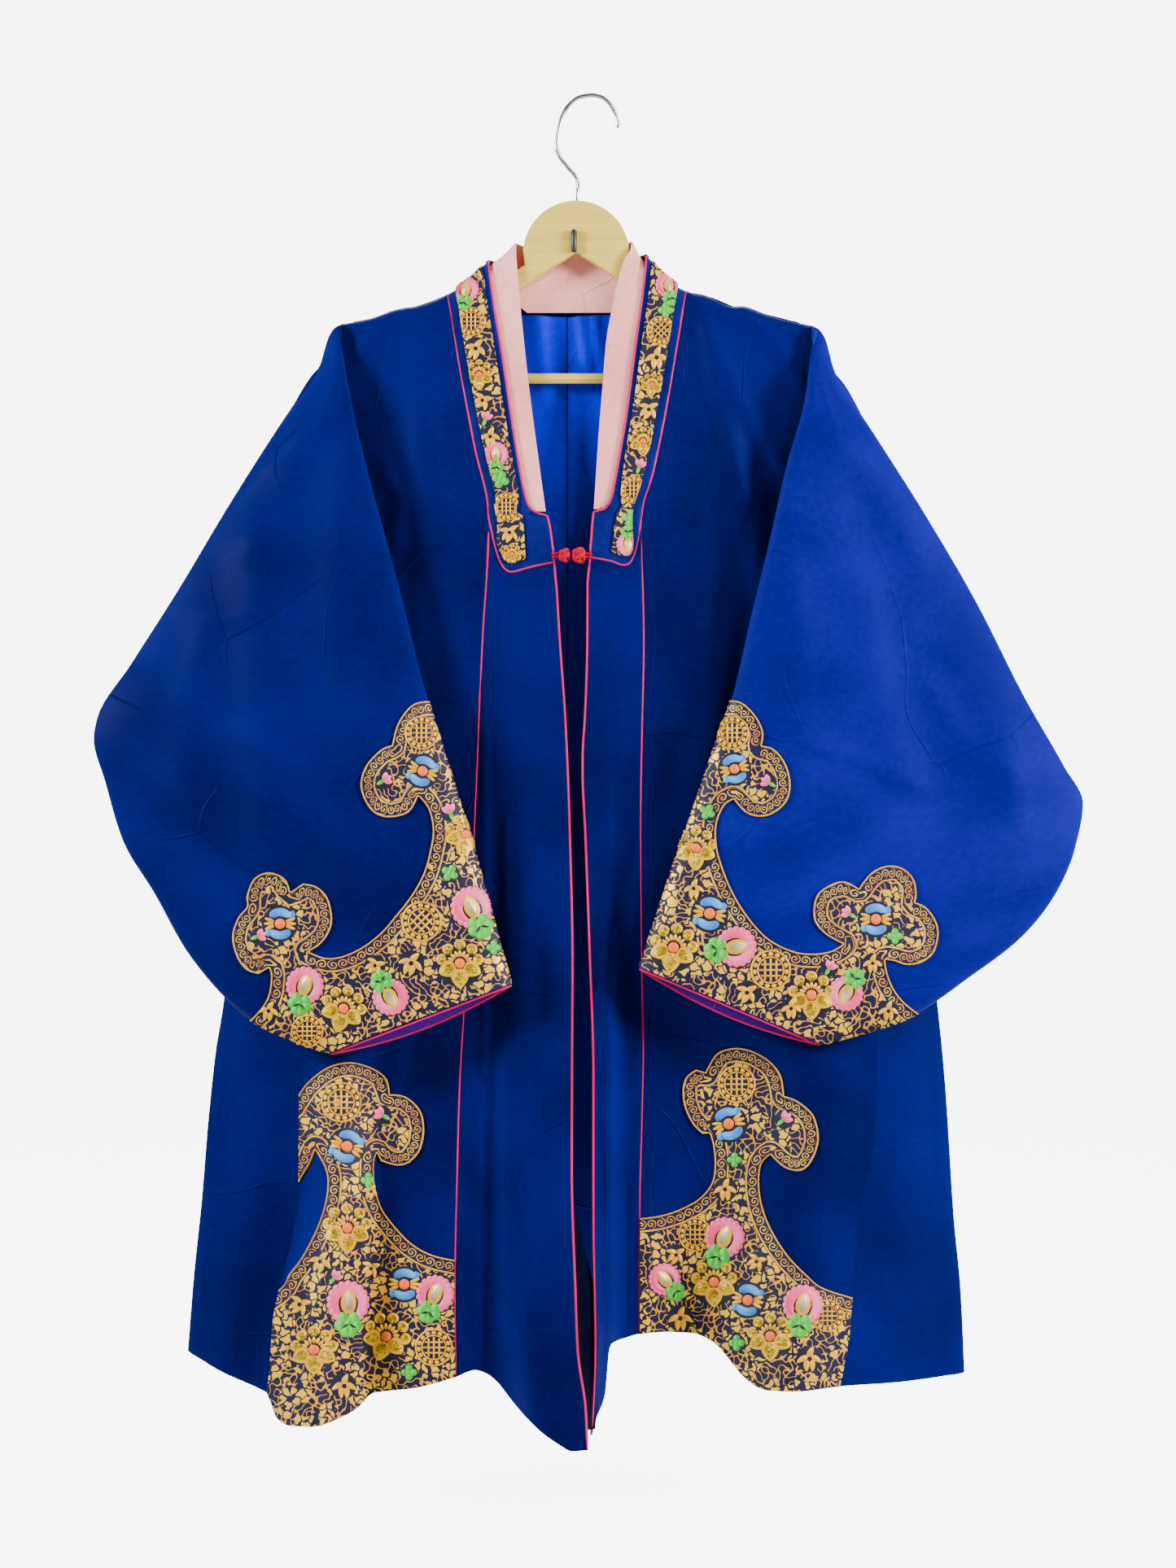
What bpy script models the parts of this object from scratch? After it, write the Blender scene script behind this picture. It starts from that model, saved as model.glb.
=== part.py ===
"""Wide-sleeved satin coat with a piped collar band and brocade panels, on a wooden hanger.

Lengths in the tables are millimetres. The cloth's x and z are given as they look from the
front, from an eye 2.4 m away, on the hanger's plane; place() moves a point to its true spot
for its depth. "forward" is millimetres towards the front (-Y). Left and right are the viewer's.
"""
import bpy
import bmesh
from math import cos, exp, hypot, pi, sin, sqrt
from mathutils import Vector

MM = 0.001

# View of the outlines
EYE_DISTANCE = 2400.0
EYE_X = 10.4
EYE_Z = -607.3
HOOK_X = 13.7            # the hook's crown lies this far right of the hanger's centre line

# Cloth
CLOTH = 1.6              # satin and its backing
THIN = 1.0               # ribbon, inner collar, facing, brocade
SEAM_GAP = 0.3
PIPING_RADIUS = 1.1
PIPED_EDGE = PIPING_RADIUS + SEAM_GAP        # cloth stops this far from a piping's middle
EDGE_INSET = 2 * PIPING_RADIUS + SEAM_GAP    # and this far from an edge that a piping ends
SHOULDER_ROLL = 12.0     # height over which the cloth rounds over the hanger
BACK_CENTRE_X = -8.0
SIGN = {"left": -1, "right": 1}

# Lines that run down the coat, rows of (z, x). Above the collar's foot "edge" is the band's
# inner edge and "princess" its outer edge; below it they are the front edge and the princess seam.
LINES = {
    "left": {
        "edge": [(-144, -77.4), (-187, -71.4), (-222, -65.5), (-294, -54.7), (-330, -48.7),
                 (-349, -45), (-360, -41.5), (-366, -35.6), (-369.5, -24.8), (-403, -19.4),
                 (-423, -17.3), (-480, -13.7), (-557, -8.4), (-644, -5), (-768, -2.4),
                 (-845, -2.9), (-950, -3.2), (-1056, 0), (-1112, 2.2), (-1157, 8.8), (-1197, 10.8)],
        "princess": [(-174, -114), (-235, -104), (-306, -90.5), (-372, -77.4), (-403, -78.2),
                     (-480, -83), (-596, -88), (-662, -91), (-802, -99), (-865, -102.7),
                     (-942, -105), (-1066, -107.4), (-1132, -106.4)],
        "seam": [(-418, -272), (-640, -256), (-840, -245), (-960, -245.5), (-1055, -262.4),
                 (-1077, -267.8), (-1121, -270.7), (-1146, -273.6)],
        "silhouette": [(-418, -272), (-600, -293), (-801, -312), (-843, -319), (-901, -325),
                       (-973, -331), (-1039, -338), (-1109, -344)],
    },
    "right": {
        "edge": [(-139, 61.6), (-175, 57.6), (-211, 52.6), (-246, 48), (-282, 43.2), (-313, 38),
                 (-337, 33.6), (-354, 30.1), (-362, 25.2), (-366.5, 14.4), (-403, 11.5),
                 (-423, 9.1), (-480, 8.8), (-538, 7.2), (-590, 4.5), (-654, 7.2), (-749, 10.8),
                 (-865, 14.4), (-1000, 14.6), (-1107, 16.3), (-1157, 14.6), (-1183.5, 12.4)],
        "princess": [(-171, 97), (-222.5, 88.6), (-258.5, 82.6), (-330, 68.3), (-372, 57.6),
                     (-403, 58), (-480, 59.7), (-557, 58.2), (-634, 57), (-772, 58), (-845, 59),
                     (-909, 57.7), (-994, 55.8), (-1094, 55.7)],
        "seam": [(-418, 268), (-650, 266), (-885, 265.7), (-935, 262), (-979, 252.5),
                 (-1041, 246), (-1101, 241), (-1140.5, 233.3)],
        "silhouette": [(-418, 268), (-600, 292), (-803, 320), (-864, 326), (-994, 334.5),
                       (-1054, 340), (-1128, 343)],
    },
}

# Shoulder lines and hems, rows of (x, z)
SHOULDER = {
    "left": [(-77.4, -144), (-114, -174), (-150, -187), (-179, -195), (-206, -200)],
    "right": [(61.6, -139), (97, -171), (117, -176), (142, -186), (174, -193), (207, -201.5)],
}
HEM = {
    "left": [(10.8, -1197), (-5, -1198), (-14, -1193), (-32, -1180), (-47, -1165), (-58, -1151),
             (-68, -1137), (-78, -1129), (-88, -1126), (-106.4, -1132), (-145, -1142),
             (-179, -1146), (-195, -1160), (-212, -1169), (-233, -1176), (-253, -1175),
             (-264, -1168), (-273.6, -1146), (-289, -1139), (-316, -1127), (-344, -1109)],
    "right": [(12.4, -1183.5), (18, -1163.5), (23, -1149), (27, -1104), (44, -1097),
              (55.7, -1094), (77, -1092), (101, -1093), (119, -1101), (130, -1112), (143, -1127),
              (156, -1138), (170, -1144), (191.5, -1145), (233.3, -1140.5), (282, -1137),
              (303, -1134.5), (343, -1128)],
}
ARMPIT_Z = -418.0
BACK_HEM_Z = -1114.0

# The collar band's foot, rows of (share across from front edge to princess line, z)
FOOT = {
    "left": [(0, -411), (0.2, -413), (0.445, -416.5), (0.655, -419.6), (0.74, -417),
             (0.82, -409), (0.9, -395), (1, -372)],
    "right": [(0, -406.3), (0.2, -408), (0.43, -410.1), (0.66, -413.6), (0.76, -412.4),
              (0.84, -406.5), (0.92, -394), (1, -372)],
}

# Forward depth of the fronts: a row for each height, a column for each line down the cloth
FRONT_COLUMNS = (0, 0.35, 0.7, 1, 1.22, 1.47, 1.76, 2, 2.5, 3)
#   edge lap  mid  princess hollow flank bulge seam wrap silhouette
FRONT_DEPTH = {
    "left": [
        (-140, 12, 12, 11, 10, 10, 9.5, 9, 9, 9, 9),
        (-200, 13, 12, 11, 10, 10, 9.5, 9, 9, 9, 9),
        (-300, 17, 16, 15, 14, 13.5, 12, 10, 9, 9, 9),
        (-418, 24, 22, 20, 19, 18, 16, 12, 9, 9, 9),
        (-600, 36, 32, 28, 27, 26, 24, 22, 17, 12, 4),
        (-800, 56, 48, 40, 37, 34, 33, 40, 29, 20, 5),
        (-960, 76, 62, 48, 45, 42, 38, 60, 33, 25, 6),
        (-1080, 90, 74, 52, 51, 49, 40, 80, 36, 28, 6),
        (-1200, 98, 82, 54, 56, 55, 42, 92, 40, 30, 6)],
    "right": [
        (-140, 12, 12, 11, 10, 10, 9.5, 9, 9, 9, 9),
        (-200, 13, 12, 11, 10, 10, 9.5, 9, 9, 9, 9),
        (-300, 17, 16, 15, 14, 13.5, 12, 10, 9, 9, 9),
        (-418, 24, 22, 20, 19, 18, 16, 12, 9, 9, 9),
        (-600, 34, 31, 28, 27, 25, 26, 25, 19, 12, 4),
        (-800, 52, 43, 37, 35, 29, 34, 44, 38, 26, 5),
        (-960, 68, 48, 38, 35, 26, 40, 62, 52, 34, 6),
        (-1080, 80, 50, 38, 33, 24, 44, 78, 64, 38, 6),
        (-1200, 88, 50, 37, 31, 22, 47, 88, 72, 40, 6)],
}

# Depth of the back, behind the hanger's plane: columns from the side to the centre back
BACK_COLUMNS = (0, 0.05, 0.2, 0.4, 0.6, 0.8, 1)
BACK_DEPTH = [
    (-180, 9, 9, 10.5, 13, 14, 14, 14),
    (-300, 9, 9, 12, 14, 14, 16, 16),
    (-418, 9, 9, 14, 17, 16, 19, 18),
    (-600, -4, 12, 24, 20, 26, 22, 28),
    (-800, -5, 20, 36, 25, 38, 28, 40),
    (-960, -6, 26, 46, 30, 50, 33, 50),
    (-1120, -6, 32, 56, 35, 62, 38, 60)]
NECK_SEAM_Z = -188.0     # at the centre back
NECK_TOP_Z = -147.0
NECK_FALL = [(0, 0), (0.12, 0.25), (0.5, 0.8), (1, 1)]     # share to centre back, share of fall
NECK_ROLL = 0.2          # share to centre back over which the collar turns to full depth
NECK_DEPTH = 14.0
NECK_TRIM = PIPED_EDGE + 0.8     # the back stops this far under the collar's seam
NECK_SHARES = (1, 0.72, 0.46, 0.24, 0.08)
BAND_ROWS = (0, 0.011, 0.032, 0.056, 0.15, 0.28, 0.42, 0.56, 0.68, 0.78, 0.82, 0.844, 0.86, 0.93)
PRINCESS_TOP = {"left": -384.0, "right": -389.0}

# Largest folds on top of the depth tables: share across and z at each end, half width, height
FOLDS = {
    "left": [(1.35, -215, 1.12, -520, 16, 5), (0.55, -620, 0.42, -1190, 15, 7),
             (1.62, -470, 1.55, -820, 22, 6)],
    "right": [(1.3, -190, 1.55, -470, 15, 6), (1.22, -205, 1.3, -640, 14, 5),
              (0.32, -700, 0.34, -1190, 8, 9)],
}

# Rows of a wall, as heights: millimetres under the shoulder point, then shares to the hem
ARM_DROPS = (0, 3, 8.5, 14, 55, 105, 147, 177, 206, 218)
BODY_STEPS = 12
SIDE_COLUMNS = (1, 1.11, 1.24, 1.36, 1.48, 1.6, 1.71, 1.83, 1.92, 2)
CENTRE_COLUMNS = (0, 0.2, 0.37, 0.55, 0.66, 0.75, 0.83, 0.91, 1)
WRAP_COLUMNS = (2, 2.33, 2.67, 3)
LINING_START = 2         # the back's column at which the lining starts
LINING_GAP = 1.6
BACK_STEPS = (0.045, 0.12, 0.24, 0.38, 0.52, 0.66, 0.8, 0.9, 1)

# Sleeves fold forward over the fronts. Each row is one ring: the top fold (t), the outer
# silhouette (o), the underarm seam (b), each as x, z and forward; then how far the layers
# stand off their middle, outside and inside.
#   t: x, z, forward | o: x, z, forward | b: x, z, forward | outside, inside
SLEEVE_FOLDED = {
    "left": [
        (-205, -236, 21, -229, -240, 9, -283, -428, 1, 9, 3),
        (-200, -264, 27, -264, -292, 12, -294, -438, 3, 11, 4),
        (-186, -325, 33, -309, -363, 17, -316, -458, 8, 13, 5),
        (-169, -388, 38, -352, -435, 24, -344, -484, 16, 14, 6),
        (-152, -452, 43, -394, -501, 33, -379, -516, 28, 14, 6)],
    "right": [
        (206, -238, 21, 230, -245, 9, 280.5, -434, 1, 9, 3),
        (202, -268, 27, 264, -298, 12, 293, -447, 3, 11, 4),
        (186, -326, 33, 309, -369, 17, 316, -473, 8, 13, 5),
        (171, -392, 38, 355, -448, 24, 348, -508, 16, 14, 6),
        (154, -462, 43, 396, -529, 33, 385, -548, 28, 14, 6)],
}
#   t: x, z, forward | o: x, z, forward | outside, inside
SLEEVE_OPEN = {
    "left": [
        (-139, -505, 46, -424, -549, 40, 14, 6),
        (-129, -541, 49, -427, -567, 42, 14, 6),
        (-118, -576, 51, -417, -605, 46, 15, 7),
        (-104, -622, 54, -401, -658, 50, 16, 8),
        (-90, -668, 57, -374, -703, 54, 16, 8),
        (-76, -718, 61, -340, -762, 59, 16, 8),
        (-66, -755, 64, -285, -818, 62, 14, 8),
        (-57.4, -784.5, 66, -219, -846, 64, 12, 7)],
    "right": [
        (139, -527, 46, 432, -592, 40, 14, 6),
        (127, -562, 49, 448.5, -624, 42, 14, 6),
        (115, -597, 51, 441, -666, 46, 15, 7),
        (101, -638, 54, 424, -705, 50, 16, 8),
        (87, -677, 57, 395, -742, 54, 16, 8),
        (75, -713, 61, 350, -777, 59, 16, 8),
        (65, -743, 64, 292, -815, 62, 14, 8),
        (56, -770, 66, 217, -838, 64, 12, 7)],
}
LAYER_SHARES = (0.03, 0.12, 0.3, 0.52, 0.74, 0.91)
EDGE_SHARES = (0.94, 0.96, 0.975, 0.986, 0.994)
SLEEVE_DROPS = (0, 3, 8.5, 14, 20, 26, 33, 41, 56)     # ring points under the shoulder point
SHOULDER_OUT = (3, 2.6, 2.6, 2.6, 2.6, 2.6, 2.6, 3, 3.5, 4, 4, 7, 9, 9.5, 10, 10, 10, 9, 6)
SHOULDER_FORWARD = (10, 6, 4, 3.4, 3, 3, 3, 2.5, 1.5, 0, 0, 2.5, 4, 6, 8, 11, 14, 16.5, 15)
SEAM_FOLD = 2.3          # half the gap between the two layers at the underarm seam
FOLD_INSET = 6.0         # the inner layer turns this far inside the outer one
CUFF_DROP = 8.0          # the cuff's hidden edge hangs this much lower
FACING_SHARE = 0.45      # the facing starts this share up the last sleeve row

# Inner collar: its free edge, rows of (z, x), and its width
INNER_COLLAR = {
    "left": [(-128.5, -54), (-191.5, -48.7), (-258.5, -41.5), (-330, -32), (-366, -27)],
    "right": [(-127, 50), (-134, 48.3), (-144, 41.5), (-164, 36.5), (-187, 31.5), (-215, 26.5),
              (-258.5, 23), (-302, 19.5), (-364, 15.5)],
}
INNER_COLLAR_WIDTH = 27.0
INNER_COLLAR_COLUMNS = (0, 0.35, 0.7, 1)
INNER_COLLAR_FALL = {"left": (0, 10, 17.5, 24.5), "right": (0, 22, 30, 36)}     # on the shoulder
INNER_COLLAR_TOP = -138.0    # at the centre back
INNER_COLLAR_LOW = -184.0
INNER_COLLAR_DEPTH = 2.3     # behind the band's face

# Ribbon on the band: offset from the outer edge, and the z and x of its inner edge
RIBBON_OFFSET = 8.0
RIBBON_NECK = (0.2, 0.82)
RIBBON_END = 0.97
RIBBON_INNER = {
    "left": [(-160, -80), (-235, -69.5), (-300, -57.5), (-343, -49.5), (-380, -46.5), (-413, -44.4)],
    "right": [(-155, 64), (-235, 54), (-300, 45), (-343, 39), (-380, 34), (-408, 30.5)],
}

# Brocade outlines as ruyi clouds: lobes and hollows as (x, z) seen from the front
CUTTER_REACH = (170, -60)    # how far forward the outline's cutter starts and ends
BROCADE_HEM = {
    "left": [(-300, -884), (-252, -893), (-239, -873), (-220, -858), (-200, -853.5), (-181, -858.5),
             (-168, -868), (-165, -882), (-151, -884), (-138, -896), (-134.5, -913),
             (-138, -931), (-148, -942.5), (-159, -945), (-173, -941), (-176.5, -934),
             (-179, -942), (-178.5, -961), (-173, -981), (-162, -997), (-145.5, -1014),
             (-126, -1024.5), (-99, -1030), (-99, -1220), (-300, -1220), (-300, -1080),
             (-262, -1054), (-254, -1041), (-242, -1025), (-228, -997), (-221, -972.5),
             (-221, -950.5), (-231, -931), (-236, -944), (-246, -960), (-300, -960)],
    "right": [(45, -991), (57, -991.5), (77, -988.5), (95, -982), (110, -973), (120, -960),
              (122.5, -944), (121, -927), (118, -916.5), (112, -917), (103.5, -909),
              (96, -894), (94, -878.5), (97, -867), (106, -860), (114.5, -862.5), (117, -857),
              (125, -845.5), (139, -841), (154, -843), (170, -851.5), (181, -865), (184, -883.5),
              (196, -888), (209.5, -900), (214.5, -918), (212, -933), (205, -945.5),
              (196, -950), (183, -946), (172, -935.5), (164, -944), (162, -962), (165.5, -983.5),
              (174, -1004), (187, -1024), (203, -1041), (220, -1054), (260, -1066),
              (260, -1220), (45, -1220)],
}
BROCADE_CUFF = {
    "left": [(-110, -536), (-131, -534), (-146, -538), (-158, -554), (-163, -573), (-173, -577),
             (-186, -591), (-191, -608), (-186, -624), (-177, -634), (-164, -637), (-148, -632),
             (-140, -618), (-131, -629), (-127, -647), (-129, -664), (-135, -686), (-146, -706),
             (-160, -724), (-173, -739), (-190, -752), (-208, -760), (-223, -761), (-237, -755.5),
             (-227.5, -750), (-219, -739), (-216, -726), (-220, -708), (-230, -698),
             (-242, -695.5), (-253, -703), (-258, -691), (-272, -685.5), (-285, -691),
             (-291.5, -706), (-291.5, -716), (-299.5, -726), (-304.5, -743), (-300, -761),
             (-291.5, -772), (-281, -775.5), (-272, -770), (-270, -778), (-273, -796),
             (-283, -811), (-300, -826), (-300, -900), (10, -900), (10, -536)],
    "right": [(110, -536), (137, -533.5), (149, -537), (160, -549), (165.5, -562), (164, -573.5),
              (175, -576.5), (185, -589), (189.5, -606), (186.5, -622), (175, -633), (162, -636.5),
              (149, -632), (139.5, -621), (131, -626.5), (124.5, -641.5), (124, -659.5),
              (128, -677), (137.5, -701), (151, -723.5), (168.5, -743), (188.5, -754),
              (206, -757.5), (224, -755.5), (236, -749), (221.5, -741), (211.5, -730),
              (210, -716.5), (214.5, -703.5), (228, -695), (239, -694), (250, -700),
              (255, -692.5), (263.5, -684), (276.5, -679.5), (290, -682.5), (299, -692.5),
              (301, -705.5), (299.5, -712), (309.5, -716.5), (318, -728), (320.5, -741),
              (316, -757), (305, -765.5), (292, -767.5), (281, -764), (273.5, -763), (274.5, -772),
              (280, -787), (290, -800.5), (305, -812), (305, -900), (-10, -900), (-10, -536)],
}

# Hanger
BOARD = 12.0
HANGER_OUTLINE = [      # right half: x from the centre line, z
    (46, -149), (62, -159), (80, -171), (100, -181.5), (125, -191), (150, -199), (175, -205.5),
    (190, -209), (198, -213), (202, -221), (201.5, -240), (197, -252), (189, -257), (182.4, -254.5),
    (182.4, -242), (176, -236), (150, -222), (100, -198), (50, -170), (25, -153)]
CROWN = (0, -139, 47)    # centre x and z, radius
ARCH_Z = -138.0
BAR_HALF = 182.1
BAR_TOP = -244.0
BAR_BOTTOM = -253.4
BAR_DEPTH = 9.0
BAR_RIDGES = 5
BAR_GROOVE = 0.86        # share of full size at the bottom of a groove
WIRE = 3.6
HOOK_ROUTE = [          # x from the hanger's centre line, z
    (37.4, -26.6), (35.3, -15.8), (28.8, -4.3), (21.6, 0.7), (13.7, 2.2), (3.6, 0.7),
    (-5.8, -5.8), (-12.2, -15.8), (-15.8, -28.8), (-17.6, -42), (-14.6, -52), (-7.2, -61.9),
    (0.4, -71.5), (1.9, -79), (0.6, -85), (0.4, -91.7)]
PEG = (-2.0, -118.5, -138.5, 1.6)      # x, top, bottom, radius

# Knotted button and loop, turned about a line across the front edges
KNOT_Z = -405.0
KNOT_FORWARD = 26.4
BUTTON_PROFILE = [      # x, radius
    (-4.6, 0), (-4.2, 2.6), (-2.2, 5.2), (1.4, 6.7), (5, 6), (7.6, 3.6), (9, 2.2), (15, 2.0),
    (21, 1.8), (22, 0)]
LOOP_PROFILE = [
    (-28, 0), (-27.2, 1.8), (-20, 2.0), (-15.2, 2.2), (-13.4, 4.2), (-10.4, 5.3), (-7.2, 4.4),
    (-5.2, 2.2), (-4.95, 0)]

COLOURS = {             # base colour, roughness, metallic
    "satin": ((0.008, 0.022, 0.26), 0.38, 0.0),
    "lining": ((0.0, 0.02, 0.75), 0.35, 0.0),
    "facing": ((0.06, 0.0, 0.42), 0.4, 0.0),
    "band": ((0.008, 0.014, 0.15), 0.45, 0.0),
    "ribbon": ((0.65, 0.4, 0.1), 0.5, 0.0),
    "brocade": ((0.5, 0.3, 0.08), 0.55, 0.0),
    "inner_collar": ((0.85, 0.5, 0.5), 0.5, 0.0),
    "piping": ((0.65, 0.012, 0.08), 0.4, 0.0),
    "knot": ((0.65, 0.01, 0.05), 0.45, 0.0),
    "wood": ((0.7, 0.56, 0.26), 0.5, 0.0),
    "steel": ((0.6, 0.6, 0.6), 0.25, 1.0),
    "enamel": ((0.01, 0.01, 0.01), 0.3, 0.0),
}


# Interpolation and placing

def follow(rows, key, column=1):
    """Value at a key on a smooth line through the rows, which never overshoots them."""
    if rows[0][0] > rows[-1][0]:
        rows = rows[::-1]
    if key <= rows[0][0]:
        return rows[0][column]
    if key >= rows[-1][0]:
        return rows[-1][column]
    i = max(j for j in range(len(rows) - 1) if rows[j][0] <= key)

    def secant(j):
        return (rows[j + 1][column] - rows[j][column]) / (rows[j + 1][0] - rows[j][0])

    def slope(j):
        if j == 0:
            return secant(0)
        if j == len(rows) - 1:
            return secant(j - 1)
        before, after = secant(j - 1), secant(j)
        return 0 if before * after <= 0 else 2 * before * after / (before + after)

    span = rows[i + 1][0] - rows[i][0]
    t = (key - rows[i][0]) / span
    return ((2 * t**3 - 3 * t**2 + 1) * rows[i][column] + (t**3 - 2 * t**2 + t) * span * slope(i)
            + (3 * t**2 - 2 * t**3) * rows[i + 1][column] + (t**3 - t**2) * span * slope(i + 1))


def mix(a, b, share):
    return a + (b - a) * share


def place(x, forward, z):
    """True position, in metres, of cloth seen at (x, z) that lies so far forward."""
    near = (EYE_DISTANCE - forward) / EYE_DISTANCE
    return Vector((EYE_X + (x - EYE_X) * near - HOOK_X, -forward, EYE_Z + (z - EYE_Z) * near)) * MM


def over_hanger(drop):
    """Share of full depth that the cloth has reached, so far below the shoulder line."""
    t = min(max(drop / SHOULDER_ROLL, 0), 1)
    return sqrt(1 - (1 - t) ** 2)


# The fronts

def seam_x(side, z):
    """Armhole above the armpit, a straight line; side seam below it."""
    if z < ARMPIT_Z:
        return follow(LINES[side]["seam"], z)
    (top_x, top_z), (arm_z, arm_x) = SHOULDER[side][-1], LINES[side]["seam"][0]
    return mix(top_x, arm_x, (top_z - z) / (top_z - arm_z))


def across(side, w, z):
    """x at share w: 0 front edge, 1 princess line, 2 side seam, 3 silhouette."""
    lines = LINES[side]
    edge, princess = follow(lines["edge"], z), follow(lines["princess"], z)
    if w <= 1:
        return mix(edge, princess, w)
    if w <= 2:
        return mix(princess, seam_x(side, z), w - 1)
    return mix(seam_x(side, z), follow(lines["silhouette"], z), w - 2)


def share_at(side, x, z):
    stops = [across(side, w, z) for w in range(3)]
    for w in (0, 1):
        share = (x - stops[w]) / (stops[w + 1] - stops[w])
        if share <= 1 or w == 1:
            return min(max(w + share, 0), 2)
    return 2


def top_z(side, w):
    rows = SHOULDER[side]
    stops = (rows[0][0], LINES[side]["princess"][0][1], rows[-1][0])
    x = mix(stops[0], stops[1], w) if w <= 1 else mix(stops[1], stops[2], min(w - 1, 1))
    return follow(rows, x)


def hem_z(side, w):
    lines = LINES[side]
    stops = [lines[name][-1][1] for name in ("edge", "princess", "seam", "silhouette")]
    i = min(int(w), 2)
    return follow(HEM[side], mix(stops[i], stops[i + 1], w - i))


def row_z(side, w, v):
    """Height of row v (0 shoulder, 1 armpit, 2 hem) at share w."""
    if v <= 1:
        return mix(top_z(side, w), ARMPIT_Z, v)
    return mix(ARMPIT_Z, hem_z(side, w), v - 1)


def forward(side, w, z):
    columns = [(FRONT_COLUMNS[j], follow(FRONT_DEPTH[side], z, j + 1))
               for j in range(len(FRONT_COLUMNS))]
    depth = follow(columns, w)
    for w_a, z_a, w_b, z_b, width, height in FOLDS[side]:
        t = (z_a - z) / (z_a - z_b)
        if 0 < t and w < 2:
            away = (across(side, w, z) - across(side, mix(w_a, w_b, min(t, 1)), z)) / width
            fade = min(t * 4, 1) * (1 if z_b < -1150 else min(max((1.1 - t) * 4, 0), 1))
            depth += height * exp(-away * away) * fade
    if w > 1.8:
        arm = min(max((z - ARMPIT_Z) / 60 + 1, 0), 1)
        depth = mix(depth, 9, arm * min((w - 1.8) / 0.2, 1))
    return depth * over_hanger(top_z(side, w) - z)


def front_spot(side, w, z):
    return place(across(side, w, z), forward(side, w, z), z)


def levels():
    """Row values from the shoulder to the hem, shared by fronts and backs so seams meet."""
    drop = SHOULDER["left"][-1][1] - ARMPIT_Z
    arm = [d / drop for d in ARM_DROPS]
    return arm + [1 + (i + 1) / BODY_STEPS for i in range(BODY_STEPS)]


# Walls of cloth

def grid_normals(grid, closed=False):
    """Outward normals of a grid whose rows run down and whose columns run left to right."""
    rows, cols = len(grid), len(grid[0])
    normals = []
    for i in range(rows):
        line = []
        for j in range(cols):
            down = grid[min(i + 1, rows - 1)][j] - grid[max(i - 1, 0)][j]
            if closed:
                along = grid[i][(j + 1) % cols] - grid[i][j - 1]
            else:
                along = grid[i][min(j + 1, cols - 1)] - grid[i][max(j - 1, 0)]
            line.append(down.cross(along).normalized())
        normals.append(line)
    return normals


def flatten(normal, way):
    """The normal without its part along a direction, so that two walls can meet at a plane."""
    return (normal - way * normal.dot(way)).normalized()


def moved(grid, normals, millimetres):
    return [[p + n * millimetres * MM for p, n in zip(row, line)]
            for row, line in zip(grid, normals)]


def pulled(line, inner, millimetres):
    """A line of points drawn in towards the next one, by so many millimetres square to it."""
    points = []
    for i, (point, target) in enumerate(zip(line, inner)):
        along = (line[min(i + 1, len(line) - 1)] - line[max(i - 1, 0)]).normalized()
        way = (target - point).normalized()
        points.append(point + way * millimetres * MM / max(along.cross(way).length, 0.5))
    return points


def trim(grid, first=0, last=0, top=0, bottom=0):
    """Edges drawn in along the grid by so many millimetres."""
    grid = [list(row) for row in grid]
    for column, inner, size in ((0, 1, first), (-1, -2, last)):
        if size:
            edge = pulled([row[column] for row in grid], [row[inner] for row in grid], size)
            for row, point in zip(grid, edge):
                row[column] = point
    for row, inner, size in ((0, 1, top), (-1, -2, bottom)):
        if size:
            grid[row] = pulled(grid[row], grid[inner], size)
    return grid


def left_to_right(side, grid):
    """Tables run from the centre outwards, walls from left to right."""
    return [row[::-1] for row in grid] if side == "left" else grid


def close_mesh(name, verts, faces, material):
    shape = bmesh.new()
    points = [shape.verts.new(v) for v in verts]
    for face in faces:
        shape.faces.new([points[k] for k in face])
    bmesh.ops.recalc_face_normals(shape, faces=shape.faces)
    if shape.calc_volume(signed=True) < 0:
        bmesh.ops.reverse_faces(shape, faces=shape.faces)
    mesh = bpy.data.meshes.new(name)
    shape.to_mesh(mesh)
    shape.free()
    mesh.materials.append(material)
    item = bpy.data.objects.new(name, mesh)
    bpy.context.collection.objects.link(item)
    return item


def wall(name, grid, normals, thickness, material, closed=False):
    """Closed wall of cloth: the grid is its outer face, and its inner one lies inside."""
    inner = moved(grid, normals, -thickness)
    rows, cols = len(grid), len(grid[0])
    spans = cols if closed else cols - 1
    verts = [p for row in grid for p in row] + [p for row in inner for p in row]
    half = rows * cols

    def at(i, j, layer=0):
        return layer * half + i * cols + j % cols

    faces = []
    for i in range(rows - 1):
        for j in range(spans):
            a, b, c, d = at(i, j), at(i, j + 1), at(i + 1, j + 1), at(i + 1, j)
            faces += [(a, c, b), (a, d, c)]
            faces += [(a + half, b + half, c + half), (a + half, c + half, d + half)]
    for i in (0, rows - 1):
        faces += [(at(i, j), at(i, j + 1), at(i, j + 1, 1), at(i, j, 1)) for j in range(spans)]
    if not closed:
        for j in (0, cols - 1):
            faces += [(at(i, j), at(i, j, 1), at(i + 1, j, 1), at(i + 1, j))
                      for i in range(rows - 1)]
    return close_mesh(name, verts, faces, material)


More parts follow.
